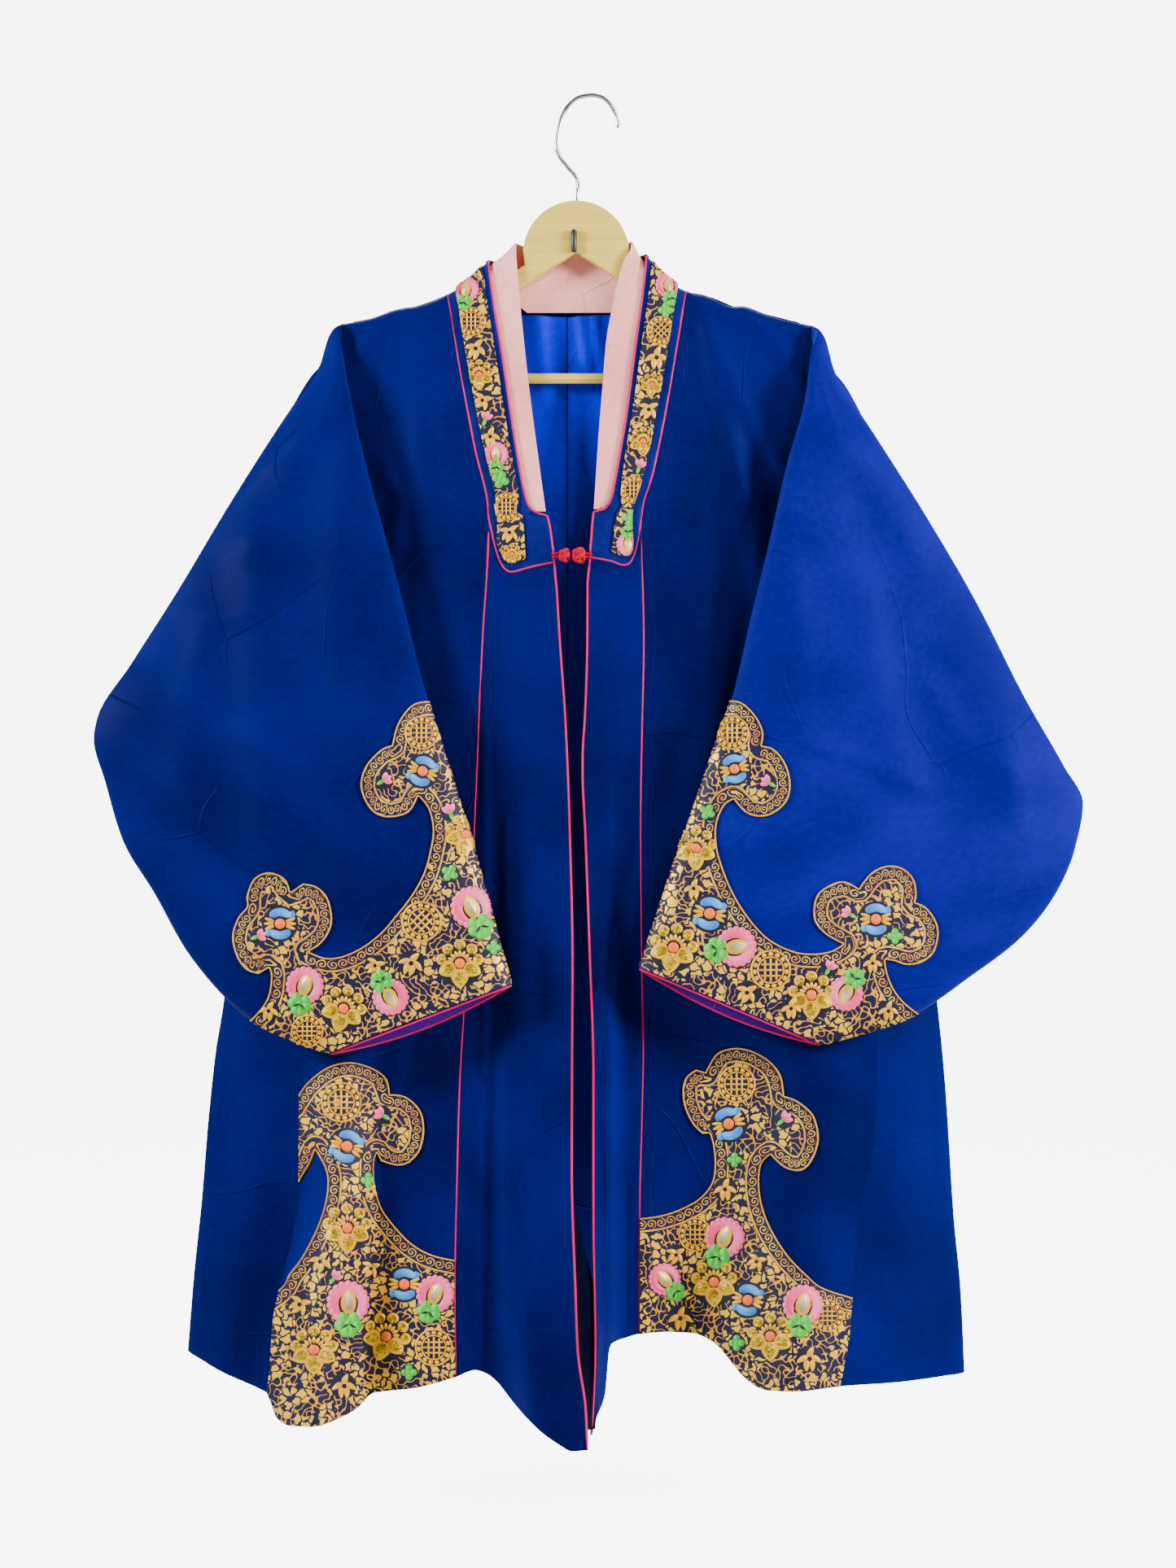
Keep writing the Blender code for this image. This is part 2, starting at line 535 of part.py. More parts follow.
def cord(name, path, radius, sides, material, closed=False):
    """Round cord along a path of points, with flat ends or closed into a ring."""
    count = len(path)
    verts, faces = [], []
    across_way = None
    for i, point in enumerate(path):
        before = path[i - 1] if i or closed else point
        after = path[(i + 1) % count] if i < count - 1 or closed else point
        way = (after - before).normalized()
        if closed:
            across_way = (point - sum(path, Vector()) / count).normalized()
        elif across_way is None:
            across_way = way.cross(Vector((0, -1, 0)))
        across_way = flatten(across_way, way)
        up = way.cross(across_way)
        verts += [point + (across_way * cos(2 * pi * k / sides) + up * sin(2 * pi * k / sides))
                  * radius * MM for k in range(sides)]
    for i in range(count if closed else count - 1):
        for k in range(sides):
            a, b = i * sides + k, i * sides + (k + 1) % sides
            c, d = (a + sides) % (count * sides), (b + sides) % (count * sides)
            faces.append((a, b, d, c))
    if not closed:
        faces += [tuple(range(sides)), tuple(range((count - 1) * sides, count * sides))]
    return close_mesh(name, verts, faces, material)


def turned(name, profile, sides, material):
    """Round piece turned about a line across the coat."""
    verts, faces = [], []
    rings = [(x, r) for x, r in profile if r]
    for x, r in rings:
        verts += [place(x, KNOT_FORWARD + r * cos(2 * pi * k / sides),
                        KNOT_Z + r * sin(2 * pi * k / sides)) for k in range(sides)]
    for i in range(len(rings) - 1):
        for k in range(sides):
            a, b = i * sides + k, i * sides + (k + 1) % sides
            faces.append((a, b, b + sides, a + sides))
    for (x, _), ring in ((profile[0], 0), (profile[-1], len(rings) - 1)):
        verts.append(place(x, KNOT_FORWARD, KNOT_Z))
        faces += [(len(verts) - 1, ring * sides + k, ring * sides + (k + 1) % sides)
                  for k in range(sides)]
    return close_mesh(name, verts, faces, material)


def slab(name, outline, depth, material):
    """Flat board cut to an outline of (x, z), lying about the hanger's plane."""
    count = len(outline)
    verts = [Vector((x - HOOK_X, y, z)) * MM for y in (-depth / 2, depth / 2) for x, z in outline]
    faces = [tuple(range(count)), tuple(range(count, 2 * count))]
    faces += [(k, (k + 1) % count, count + (k + 1) % count, count + k) for k in range(count)]
    return close_mesh(name, verts, faces, material)


# Fronts and collar

def side_grid(side):
    """Front side panel from the shoulder to the hem, clear of the princess piping."""
    seam = princess_points(side, [row_z(side, 1, v) for v in levels()], -PIPED_EDGE - SEAM_GAP)
    return [[start] + [front_spot(side, w, row_z(side, w, v)) for w in SIDE_COLUMNS[1:]]
            for start, v in zip(seam, levels())]


def seam_normal(side, v):
    """Normal at the side seam, shared by the pieces that meet there."""
    near, far = (front_spot(side, w, row_z(side, w, v)) for w in (1.92, 2.33))
    high, low = (front_spot(side, 2, row_z(side, 2, min(v + step, 2))) for step in (-0.04, 0.04))
    normal = (low - high).cross(far - near).normalized()
    return normal * SIGN[side]


def front_side(side, material):
    grid = trim(side_grid(side), last=SEAM_GAP / 2, top=SEAM_GAP / 2)
    normals = grid_normals(left_to_right(side, grid))
    normals = left_to_right(side, normals)
    normals[0] = [flatten(n, Vector((0, 1, 0))) for n in normals[0]]
    for line, v in zip(normals, levels()):
        if v > 0.999:
            line[-1] = seam_normal(side, v)
    wall(f"front_side_{side}", left_to_right(side, grid), left_to_right(side, normals),
         CLOTH, material)


def beside(points, away):
    """A line of (x, z), moved to the right hand of its own direction."""
    line = []
    for i, (x, z) in enumerate(points):
        before, after = points[max(i - 1, 0)], points[min(i + 1, len(points) - 1)]
        run, rise = after[0] - before[0], after[1] - before[1]
        size = hypot(run, rise)
        line.append((x + away * rise / size, z - away * run / size))
    return line


def laid(side, points, sink=0.0):
    """Points of (x, z) laid on the front's face, or sunk into it."""
    return [place(x, forward(side, share_at(side, x, z), z) - sink, z) for x, z in points]


def princess_points(side, heights, inwards=0.0):
    """The princess line, moved towards the front edge by so much, laid on the face."""
    line = [(across(side, 1, z), z) for z in heights]
    return laid(side, beside(line, inwards * SIGN[side]))


def foot_points(side, away=0.0):
    """Foot of the collar band from the front edge outwards, moved down by so much."""
    points = [(across(side, w, follow(FOOT[side], w)), follow(FOOT[side], w))
              for w in CENTRE_COLUMNS]
    return beside(points, away * SIGN[side])


def edge_points(side):
    """Front edge: the band's rows, then the rows of the front below its foot."""
    band = [mix(top_z(side, 0), FOOT[side][0][1], t) for t in BAND_ROWS]
    below = [mix(FOOT[side][0][1] - PIPED_EDGE, hem_z(side, 0), i / BODY_STEPS)
             for i in range(BODY_STEPS + 1)]
    return [(follow(LINES[side]["edge"], z), z) for z in band + below]


def centre_grid(side, inset):
    """Front centre panel, its front edge drawn in by so much."""
    foot = foot_points(side, PIPED_EDGE)
    edge = beside(edge_points(side), -inset * SIGN[side])[len(BAND_ROWS):]
    steps = [i / BODY_STEPS for i in range(BODY_STEPS + 1)]
    seam = princess_points(side, [mix(PRINCESS_TOP[side] - 7, hem_z(side, 1), t) for t in steps],
                           PIPED_EDGE)
    rows = []
    for i, t in enumerate(steps):
        inner = list(zip(CENTRE_COLUMNS, foot))[1:-1]
        start = (edge[i][0], foot[0][1] if i == 0 else edge[i][1])
        row = laid(side, [start])
        if i == 0:
            row += laid(side, [spot for _, spot in inner])
        else:
            row += [front_spot(side, w, mix(z, hem_z(side, w), t)) for w, (_, z) in inner]
        rows.append(row + [seam[i]])
    return rows


def front_centre(side, material):
    grid = left_to_right(side, centre_grid(side, EDGE_INSET))
    wall(f"front_centre_{side}", grid, grid_normals(grid), CLOTH, material)


def neck_roll(g):
    return over_hanger(SHOULDER_ROLL * g / NECK_ROLL)


def neck_seam_z(side, g):
    return mix(top_z(side, 1), NECK_SEAM_Z, follow(NECK_FALL, g))


def neck_rows(side):
    """Rows of the band behind the shoulder: inner and outer (x, z), and how far back."""
    start = (SHOULDER[side][0][0], LINES[side]["princess"][0][1])
    return [((mix(start[0], BACK_CENTRE_X, g), mix(top_z(side, 0), NECK_TOP_Z, g)),
             (mix(start[1], BACK_CENTRE_X, g), neck_seam_z(side, g)),
             NECK_DEPTH * neck_roll(g)) for g in NECK_SHARES]


def band_spot(side, row, w):
    """Point of the band at share w: row is a neck row or a share from shoulder to foot."""
    if isinstance(row, tuple):
        (x_in, z_in), (x_out, z_out), behind = row
        return place(mix(x_in, x_out, w), -behind, mix(z_in, z_out, w))
    return front_spot(side, w, mix(top_z(side, w), follow(FOOT[side], w), row))


def band_grid(side, inset, outset):
    """The band from the centre back over the shoulder to its foot, its edges drawn in."""
    shares = list(BAND_ROWS)
    neck = [[band_spot(side, row, w) for w in CENTRE_COLUMNS] for row in neck_rows(side)]
    front = [[band_spot(side, row, w) for w in CENTRE_COLUMNS] for row in shares]
    inner = laid(side, beside(edge_points(side), -inset * SIGN[side])[:len(shares)])
    outer = princess_points(side, [mix(top_z(side, 1), FOOT[side][-1][1], t) for t in shares],
                            outset)
    for row, start, end in zip(front, inner, outer):
        row[0], row[-1] = start, end
    foot = foot_points(side, -PIPED_EDGE)
    corner = beside(edge_points(side), -inset * SIGN[side])[len(shares)][0]
    end = princess_points(side, [foot[-1][1] + 1, foot[-1][1]], outset)[1]
    front.append(laid(side, [(corner, foot[0][1])] + foot[1:-1]) + [end])
    neck = trim(neck, first=inset, last=outset)
    return trim(neck + front, top=SEAM_GAP / 2)


def centre_back(normals):
    """Normals at the centre back lie in its plane, where left and right pieces meet."""
    return [[flatten(n, Vector((1, 0, 0))) for n in normals[0]]] + normals[1:]


def collar_band(side, material):
    grid = left_to_right(side, band_grid(side, EDGE_INSET + 2 * SEAM_GAP, PIPED_EDGE))
    wall(f"collar_band_{side}", grid, centre_back(grid_normals(grid)), CLOTH, material)


def ribbon(side, material):
    """Embroidered ribbon, made from the band's face and moved out."""
    rows = []
    for row in neck_rows(side) + list(BAND_ROWS) + [RIBBON_END]:
        if isinstance(row, tuple):
            shares = RIBBON_NECK
        else:
            z = mix(top_z(side, 0.6), follow(FOOT[side], 0.6), row)
            wide = abs(across(side, 1, z) - across(side, 0, z))
            inner = max(share_at(side, follow(RIBBON_INNER[side], z), z), 0.16)
            outer = 1 - RIBBON_OFFSET / wide
            shares = (inner, outer)
        rows.append([band_spot(side, row, mix(*shares, t)) for t in (0, 0.25, 0.5, 0.75, 1)])
    grid = left_to_right(side, trim(rows, top=SEAM_GAP / 2))
    normals = centre_back(grid_normals(grid))
    wall(f"collar_ribbon_{side}", moved(grid, normals, THIN + 2 * SEAM_GAP), normals,
         THIN, material)


def inner_collar(side, material):
    """Pink strip inside the neck, its free edge standing past the band's inner edge."""
    free, sign = INNER_COLLAR[side], SIGN[side]
    (top, start), bottom = free[0], free[-1][0]
    falls = list(zip(INNER_COLLAR_COLUMNS, INNER_COLLAR_FALL[side]))
    rows = []
    for g in (1, 0.7, 0.42, 0.2, 0.08, 0.02):
        behind = (NECK_DEPTH - 2.7) * neck_roll(g)
        rows.append([])
        for share, fall in falls:
            low = mix(INNER_COLLAR_TOP, INNER_COLLAR_LOW, share)
            x = mix(start + INNER_COLLAR_WIDTH * share * sign, BACK_CENTRE_X, g)
            rows[-1].append(place(x, -behind, mix(top - fall, low, min(g * 2, 1))))
    for drop in (0, 3, 8.5, 14, 40, 80, 120, 160, 200, top - bottom):
        row = []
        for share, fall in falls:
            z = top - drop - fall * max(1 - drop / 80, 0)
            x = follow(free, top - drop) + INNER_COLLAR_WIDTH * share * sign
            w = min(max(share_at(side, x, z), 0), 1)
            face = forward(side, w, min(z, top_z(side, w) - SHOULDER_ROLL))
            row.append(place(x, (face - INNER_COLLAR_DEPTH) * over_hanger(drop), z))
        rows.append(row)
    grid = left_to_right(side, trim(rows, top=SEAM_GAP / 2))
    wall(f"inner_collar_{side}", grid, centre_back(grid_normals(grid)), THIN, material)


# Back

def hem_back(side, b):
    return mix(hem_z(side, 3), BACK_HEM_Z, min(b * 4, 1))


def back_spot(side, b, v):
    """Point of the back at share b, from the armhole or silhouette to the centre back."""
    seam_top = SHOULDER[side][-1]
    neck_x = LINES[side]["princess"][0][1]
    x_top = mix(seam_top[0], BACK_CENTRE_X, b)
    g = max((x_top - neck_x) / (BACK_CENTRE_X - neck_x), 0)
    top = neck_seam_z(side, g) if g else follow(SHOULDER[side], x_top)
    z = mix(top, ARMPIT_Z, v) if v <= 1 else mix(ARMPIT_Z, hem_back(side, b), v - 1)
    if z < ARMPIT_Z:
        start = follow(LINES[side]["silhouette"], z)
    else:
        start = seam_x(side, min(z, seam_top[1]))
    columns = [(share, follow(BACK_DEPTH, z, j + 1)) for j, share in enumerate(BACK_COLUMNS)]
    full = max(over_hanger(top - z), neck_roll(g) if g else 0)
    return place(mix(start, BACK_CENTRE_X, b), -follow(columns, b) * full, z)


def back_grid(side):
    """Half of the back, from the front side seam round the side to the centre back."""
    rows = []
    for v in levels():
        z = row_z(side, 2, v)
        row = []
        for w in WRAP_COLUMNS:
            b = (w - 2) * 0.04
            x = mix(seam_x(side, z), BACK_CENTRE_X, b * (0.1 if v > 0.999 else 1))
            if v > 1.001:
                row.append(front_spot(side, w, row_z(side, w, v)))
            elif v > 0.999:
                row.append(place(x, mix(9, -9, b / BACK_STEPS[0]), z))
            else:
                row.append(place(x, -9 * over_hanger(SHOULDER[side][-1][1] - z), z))
        rows.append(row + [back_spot(side, b, v) for b in BACK_STEPS])
    return rows


def back(side, material, lining):
    grid = trim(back_grid(side), first=SEAM_GAP / 2, last=SEAM_GAP / 2, top=SEAM_GAP / 2)
    neck = [j for j, point in enumerate(grid[0]) if abs(point.x / MM + HOOK_X - BACK_CENTRE_X)
            < abs(LINES[side]["princess"][0][1] - BACK_CENTRE_X)]
    for j in neck:
        grid[0][j] += (grid[1][j] - grid[0][j]).normalized() * NECK_TRIM * MM
    normals = left_to_right(side, grid_normals(left_to_right(side, grid)))
    normals[0] = [flatten(n, Vector((0, 1, 0))) if j not in neck else n
                  for j, n in enumerate(normals[0])]
    for line, v in zip(normals, levels()):
        line[-1] = flatten(line[-1], Vector((1, 0, 0)))
        if v > 0.999:
            line[0] = seam_normal(side, v)
    wall(f"back_{side}", left_to_right(side, grid), left_to_right(side, normals), CLOTH, material)

    first = len(WRAP_COLUMNS) + LINING_START
    inside = [row[first:] for row in moved(grid, normals, -CLOTH - LINING_GAP)]
    inward = [line[first:] for line in normals]
    low = ARM_DROPS.index(14)
    for j, point in enumerate(inside[0]):
        if point.y < 0.7 * NECK_DEPTH * MM:
            inside[0][j], inward[0][j] = inside[low][j], inward[low][j]
    keep = [0] + list(range(low + 1, len(inside), 2)) + [len(inside) - 1]
    keep = sorted(set(keep))
    lining_grid = trim([inside[i] for i in keep], top=4, bottom=20)
    wall(f"lining_back_{side}", left_to_right(side, lining_grid),
         left_to_right(side, [inward[i] for i in keep]), THIN, lining)


# Sleeves

def layer_swell(share):
    """How full a folded sleeve's layer is, blunt at its folds."""
    return sqrt(max(1 - abs(2 * share - 1) ** 3.5, 0))


def armhole_ring(side):
    """Loop round the armhole: down its front edge and up its back one."""
    top, sign = SHOULDER[side][-1][1], SIGN[side]

    def spot(drop, facing):
        z = top - drop
        return (seam_x(side, z) + sign * SEAM_GAP, z, facing * 9 * over_hanger(drop))

    front = [spot(d, 1) for d in SLEEVE_DROPS]
    armpit = (seam_x(side, ARMPIT_Z) + sign * SEAM_GAP, ARMPIT_Z - SEAM_GAP / 2, 9)
    return front + [armpit, spot(206, -1)] + [spot(d, -1) for d in SLEEVE_DROPS[:0:-1]]


def shoulder_ring(side, armhole):
    """First ring past the armhole, where the sleeve's head turns forward."""
    ring = [(x + SIGN[side] * out, z, f + more)
            for (x, z, f), out, more in zip(armhole, SHOULDER_OUT, SHOULDER_FORWARD)]
    x, z, f = ring[0]
    return [(x, z - 1.5, f)] + ring[1:]


def folded_ring(row):
    """Ring with its front half folded behind the back half and turned in at the outer edge."""
    tx, tz, tf, ox, oz, of, bx, bz, bf, outside, inside = row
    width = hypot(ox - tx, oz - tz)
    turn = 1 - min(FOLD_INSET / width, 0.3)
    ring = [(tx, tz, tf)]
    for share in LAYER_SHARES:
        s = share * turn
        back_off = inside * layer_swell(share) * (1 - share) - 2 * share
        ring.append((mix(tx, ox, s), mix(tz, oz, s), mix(tf, of, s) - back_off))
    turn_x, turn_z = mix(tx, ox, turn), mix(tz, oz, turn)
    ring += [(turn_x, turn_z, of), (mix(turn_x, bx, 0.08), mix(turn_z, bz, 0.08), of - 3),
             (bx, bz, bf + SEAM_FOLD), (mix(bx, ox, 0.01), mix(bz, oz, 0.01), bf - SEAM_FOLD),
             (mix(ox, bx, 0.06), mix(oz, bz, 0.06), of - 9), (ox, oz, of)]
    ring += [(mix(tx, ox, s), mix(tz, oz, s), mix(tf, of, s) + outside * layer_swell(s))
             for s in reversed(LAYER_SHARES)]
    return ring


def open_ring(row, sign, drop):
    tx, tz, tf, ox, oz, of, outside, inside = row
    ring = [(tx, tz, tf)]
    for s in LAYER_SHARES + EDGE_SHARES:
        low = drop * sin(pi * s)
        ring.append((mix(tx, ox, s) - low * 0.25 * sign, mix(tz, oz, s) - low,
                     mix(tf, of, s) - inside * layer_swell(s)))
    ring.append((ox, oz, of))
    ring += [(mix(tx, ox, s), mix(tz, oz, s), mix(tf, of, s) + outside * layer_swell(s))
             for s in reversed(LAYER_SHARES)]
    return ring


def sleeve_rings(side):
    """Rings from the armhole to the cuff, each starting at the sleeve's top fold."""
    armhole = armhole_ring(side)
    rings = [armhole, shoulder_ring(side, armhole)]
    rings += [folded_ring(row) for row in SLEEVE_FOLDED[side]]
    open_rows = SLEEVE_OPEN[side]
    rings += [open_ring(row, SIGN[side], CUFF_DROP if row is open_rows[-1] else 0)
              for row in open_rows]
    rings = [[place(x, f, z) for x, z, f in ring] for ring in rings]
    if side == "right":
        rings = [[ring[0]] + ring[:0:-1] for ring in rings]
    return rings


def sleeve(side, satin, facing, brocade, piping):
    rings = sleeve_rings(side)
    normals = grid_normals(rings, closed=True)
    top, arm = Vector(rings[0][0]), min(rings[0], key=lambda p: p.z)
    to_body = Vector(((top - arm).z, 0, (arm - top).x)).normalized() * -SIGN[side]
    normals[0] = [flatten(n, to_body) if n.dot(to_body) < 0 else n for n in normals[0]]
    wall(f"sleeve_{side}", rings, normals, CLOTH, satin, closed=True)

    hidden = slice(1, 7) if side == "left" else slice(-6, None)
    deep = [row[hidden] for row in moved(rings[-2:], normals[-2:], -CLOTH - SEAM_GAP)]
    inward = [line[hidden] for line in normals[-2:]]
    deep[0] = [mix(p, q, 1 - FACING_SHARE) for p, q in zip(*deep)]
    inward[0] = [(p + q).normalized() for p, q in zip(*inward)]
    wall(f"cuff_facing_{side}", deep, inward, THIN, facing)

    first = -len(SLEEVE_OPEN[side])
    raised = trim(moved(rings[first:], normals[first:], THIN + SEAM_GAP), bottom=1)
    shell = wall(f"brocade_cuff_{side}", raised, normals[first:], THIN, brocade, closed=True)
    cut_to(shell, BROCADE_CUFF[side])

    cuff = []
    edge = rings[-1]
    for k, (above, point, normal) in enumerate(zip(rings[-2], edge, normals[-1])):
        out = (edge[(k + 1) % len(edge)] - edge[k - 1]).cross(normal).normalized()
        out *= 1 if out.dot(point - above) > 0 else -1
        cuff.append(point + (out * (PIPED_EDGE + 2 * SEAM_GAP) - normal * CLOTH / 2) * MM)
    cord(f"piping_cuff_{side}", cuff, PIPING_RADIUS, 5, piping, closed=True)


# Brocade

def cut_to(item, outline):
    """Keep the part of a shell that lies inside an outline, as seen from the front."""
    verts = [place(x, reach, z) for reach in CUTTER_REACH for x, z in outline]
    count = len(outline)
    faces = [tuple(range(count)), tuple(range(count, 2 * count))]
    faces += [(k, (k + 1) % count, count + (k + 1) % count, count + k) for k in range(count)]
    cutter = close_mesh(f"{item.name}_outline", verts, faces, item.data.materials[0])
    keep = item.modifiers.new("Outline", "BOOLEAN")
    keep.operation = "INTERSECT"
    keep.solver = "EXACT"
    keep.object = cutter
    bpy.context.view_layer.update()
    cut = bpy.data.meshes.new_from_object(item.evaluated_get(bpy.context.evaluated_depsgraph_get()))
    item.modifiers.clear()
    item.data = cut
    bpy.data.objects.remove(cutter)


def hem_brocade(side, material):
    first = len(ARM_DROPS) + BODY_STEPS // 2 - 1
    grid = trim(side_grid(side), last=SEAM_GAP / 2)
    grid = left_to_right(side, grid[first:])
    normals = grid_normals(grid)
    shell = wall(f"brocade_hem_{side}", moved(grid, normals, THIN + SEAM_GAP), normals,
                 THIN, material)
    cut_to(shell, BROCADE_HEM[side])


# Piping and knot

def sunk(side, grid):
    """The grid moved half a cloth deep, where pipings lie."""
    grid = left_to_right(side, grid)
    return left_to_right(side, moved(grid, grid_normals(grid), -CLOTH / 2))


def pipings(side, material):
    half = CLOTH / 2

    def lay(name, path):
        path[0] = path[0] + (path[1] - path[0]).normalized() * 2 * SEAM_GAP * MM
        cord(f"piping_{name}_{side}", path, PIPING_RADIUS, 5, material)

    band = sunk(side, band_grid(side, PIPING_RADIUS, 0.01))
    front = sunk(side, centre_grid(side, PIPING_RADIUS))
    lay("edge", [row[0] for row in band + front])

    foot = foot_points(side)[:0:-1]
    stop = across(side, 0, foot[-1][1]) + (EDGE_INSET + SEAM_GAP) * SIGN[side]
    foot.append((stop, FOOT[side][0][1]))
    lay("band", [row[-1] for row in band[:-1]] + laid(side, foot, half))

    heights = [mix(PRINCESS_TOP[side], hem_z(side, 1), i / BODY_STEPS)
               for i in range(BODY_STEPS + 1)]
    lay("princess", laid(side, [(across(side, 1, z), z) for z in heights], half))


# Hanger

def hanger(wood, steel, enamel):
    right = list(HANGER_OUTLINE)
    crown_x, crown_z, radius = CROWN
    arc = [(crown_x + radius * cos(pi * k / 18), crown_z + radius * sin(pi * k / 18))
           for k in range(18, -1, -1)]
    left = [(-x, z) for x, z in reversed(right)]
    slab("hanger_board", arc + right + [(0, ARCH_Z)] + left, BOARD, wood)

    middle = (BAR_TOP + BAR_BOTTOM) / 2
    verts, faces = [], []
    points = 2 * BAR_RIDGES
    for x in (-BAR_HALF, BAR_HALF):
        for k in range(points):
            size = 1 if k % 2 else BAR_GROOVE
            verts.append(Vector((x - HOOK_X, BAR_DEPTH / 2 * size * cos(pi * k / BAR_RIDGES),
                                 middle + (BAR_TOP - BAR_BOTTOM) / 2 * size
                                 * sin(pi * k / BAR_RIDGES))) * MM)
    faces = [tuple(range(points)), tuple(range(points, 2 * points))]
    faces += [(k, (k + 1) % points, points + (k + 1) % points, points + k) for k in range(points)]
    close_mesh("hanger_bar", verts, faces, wood)

    steps = len(HOOK_ROUTE) * 2 - 1
    table = [(i, x, z) for i, (x, z) in enumerate(HOOK_ROUTE)]
    wire = [Vector((follow(table, i / 2, 1) - HOOK_X, 0, follow(table, i / 2, 2))) * MM
            for i in range(steps)]
    cord("hanger_hook", wire, WIRE / 2, 8, steel)

    peg_x, peg_top, peg_bottom, peg_radius = PEG
    peg_y = -(BOARD / 2 + SEAM_GAP + peg_radius)
    cord("hanger_peg", [Vector((peg_x - HOOK_X, peg_y, z)) * MM for z in (peg_top, peg_bottom)],
         peg_radius, 10, enamel)


def paints():
    made = {}
    for name, (colour, roughness, metallic) in COLOURS.items():
        made[name] = bpy.data.materials.new(name)
        made[name].use_nodes = True
        shader = made[name].node_tree.nodes["Principled BSDF"]
        shader.inputs["Base Color"].default_value = (*colour, 1)
        shader.inputs["Roughness"].default_value = roughness
        shader.inputs["Metallic"].default_value = metallic
    return made


def main():
    for item in list(bpy.data.objects):
        bpy.data.objects.remove(item)
    paint = paints()
    for side in ("left", "right"):
        front_side(side, paint["satin"])
        front_centre(side, paint["satin"])
        collar_band(side, paint["band"])
        ribbon(side, paint["ribbon"])
        inner_collar(side, paint["inner_collar"])
        back(side, paint["satin"], paint["lining"])
        sleeve(side, paint["satin"], paint["facing"], paint["brocade"], paint["piping"])
        hem_brocade(side, paint["brocade"])
        pipings(side, paint["piping"])
    turned("frog_button", BUTTON_PROFILE, 12, paint["knot"])
    turned("frog_loop", LOOP_PROFILE, 12, paint["knot"])
    hanger(paint["wood"], paint["steel"], paint["enamel"])


main()
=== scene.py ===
import bpy
import bmesh
import numpy as np
from math import atan2, cos, exp, hypot, pi, sin, sqrt
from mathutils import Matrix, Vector
from mathutils.bvhtree import BVHTree


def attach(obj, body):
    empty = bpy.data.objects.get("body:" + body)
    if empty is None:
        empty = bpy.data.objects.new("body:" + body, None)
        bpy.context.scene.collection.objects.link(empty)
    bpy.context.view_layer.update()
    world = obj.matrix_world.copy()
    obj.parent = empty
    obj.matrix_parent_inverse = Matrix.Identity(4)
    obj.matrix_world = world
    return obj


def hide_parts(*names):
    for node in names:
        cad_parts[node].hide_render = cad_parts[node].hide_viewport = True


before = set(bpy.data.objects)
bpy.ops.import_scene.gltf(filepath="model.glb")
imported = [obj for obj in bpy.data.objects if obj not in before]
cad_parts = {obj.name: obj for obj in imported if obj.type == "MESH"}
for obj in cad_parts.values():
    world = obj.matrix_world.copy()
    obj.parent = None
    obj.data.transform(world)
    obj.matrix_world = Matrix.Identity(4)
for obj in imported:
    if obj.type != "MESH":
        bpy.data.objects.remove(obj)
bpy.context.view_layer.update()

# Wide-sleeved satin coat on a wooden hanger. Tables are in millimetres: x and z as they look
# from the front, "forward" towards the viewer. Left and right are the viewer's.
mm = 0.001

# View of the outlines
eyeDistance = 2400.0
eyeX = 10.4
eyeZ = -607.3
hookX = 13.7            # the hook's crown lies this far right of the hanger's centre line

# Cloth
clothWall = 1.6              # satin and its backing
thinWall = 1.0               # ribbon, inner collar, facing, brocade
seamGap = 0.3
pipingRadius = 1.1
pipedEdge = 0.45 * pipingRadius           # cloth is sewn in this close to a piping's middle
edgeInset = 1.5 * pipingRadius            # and this far from an edge that a piping ends
shoulderRoll = 12.0     # height over which the cloth rounds over the hanger
backCentreX = -8.0
outward = {"left": -1, "right": 1}

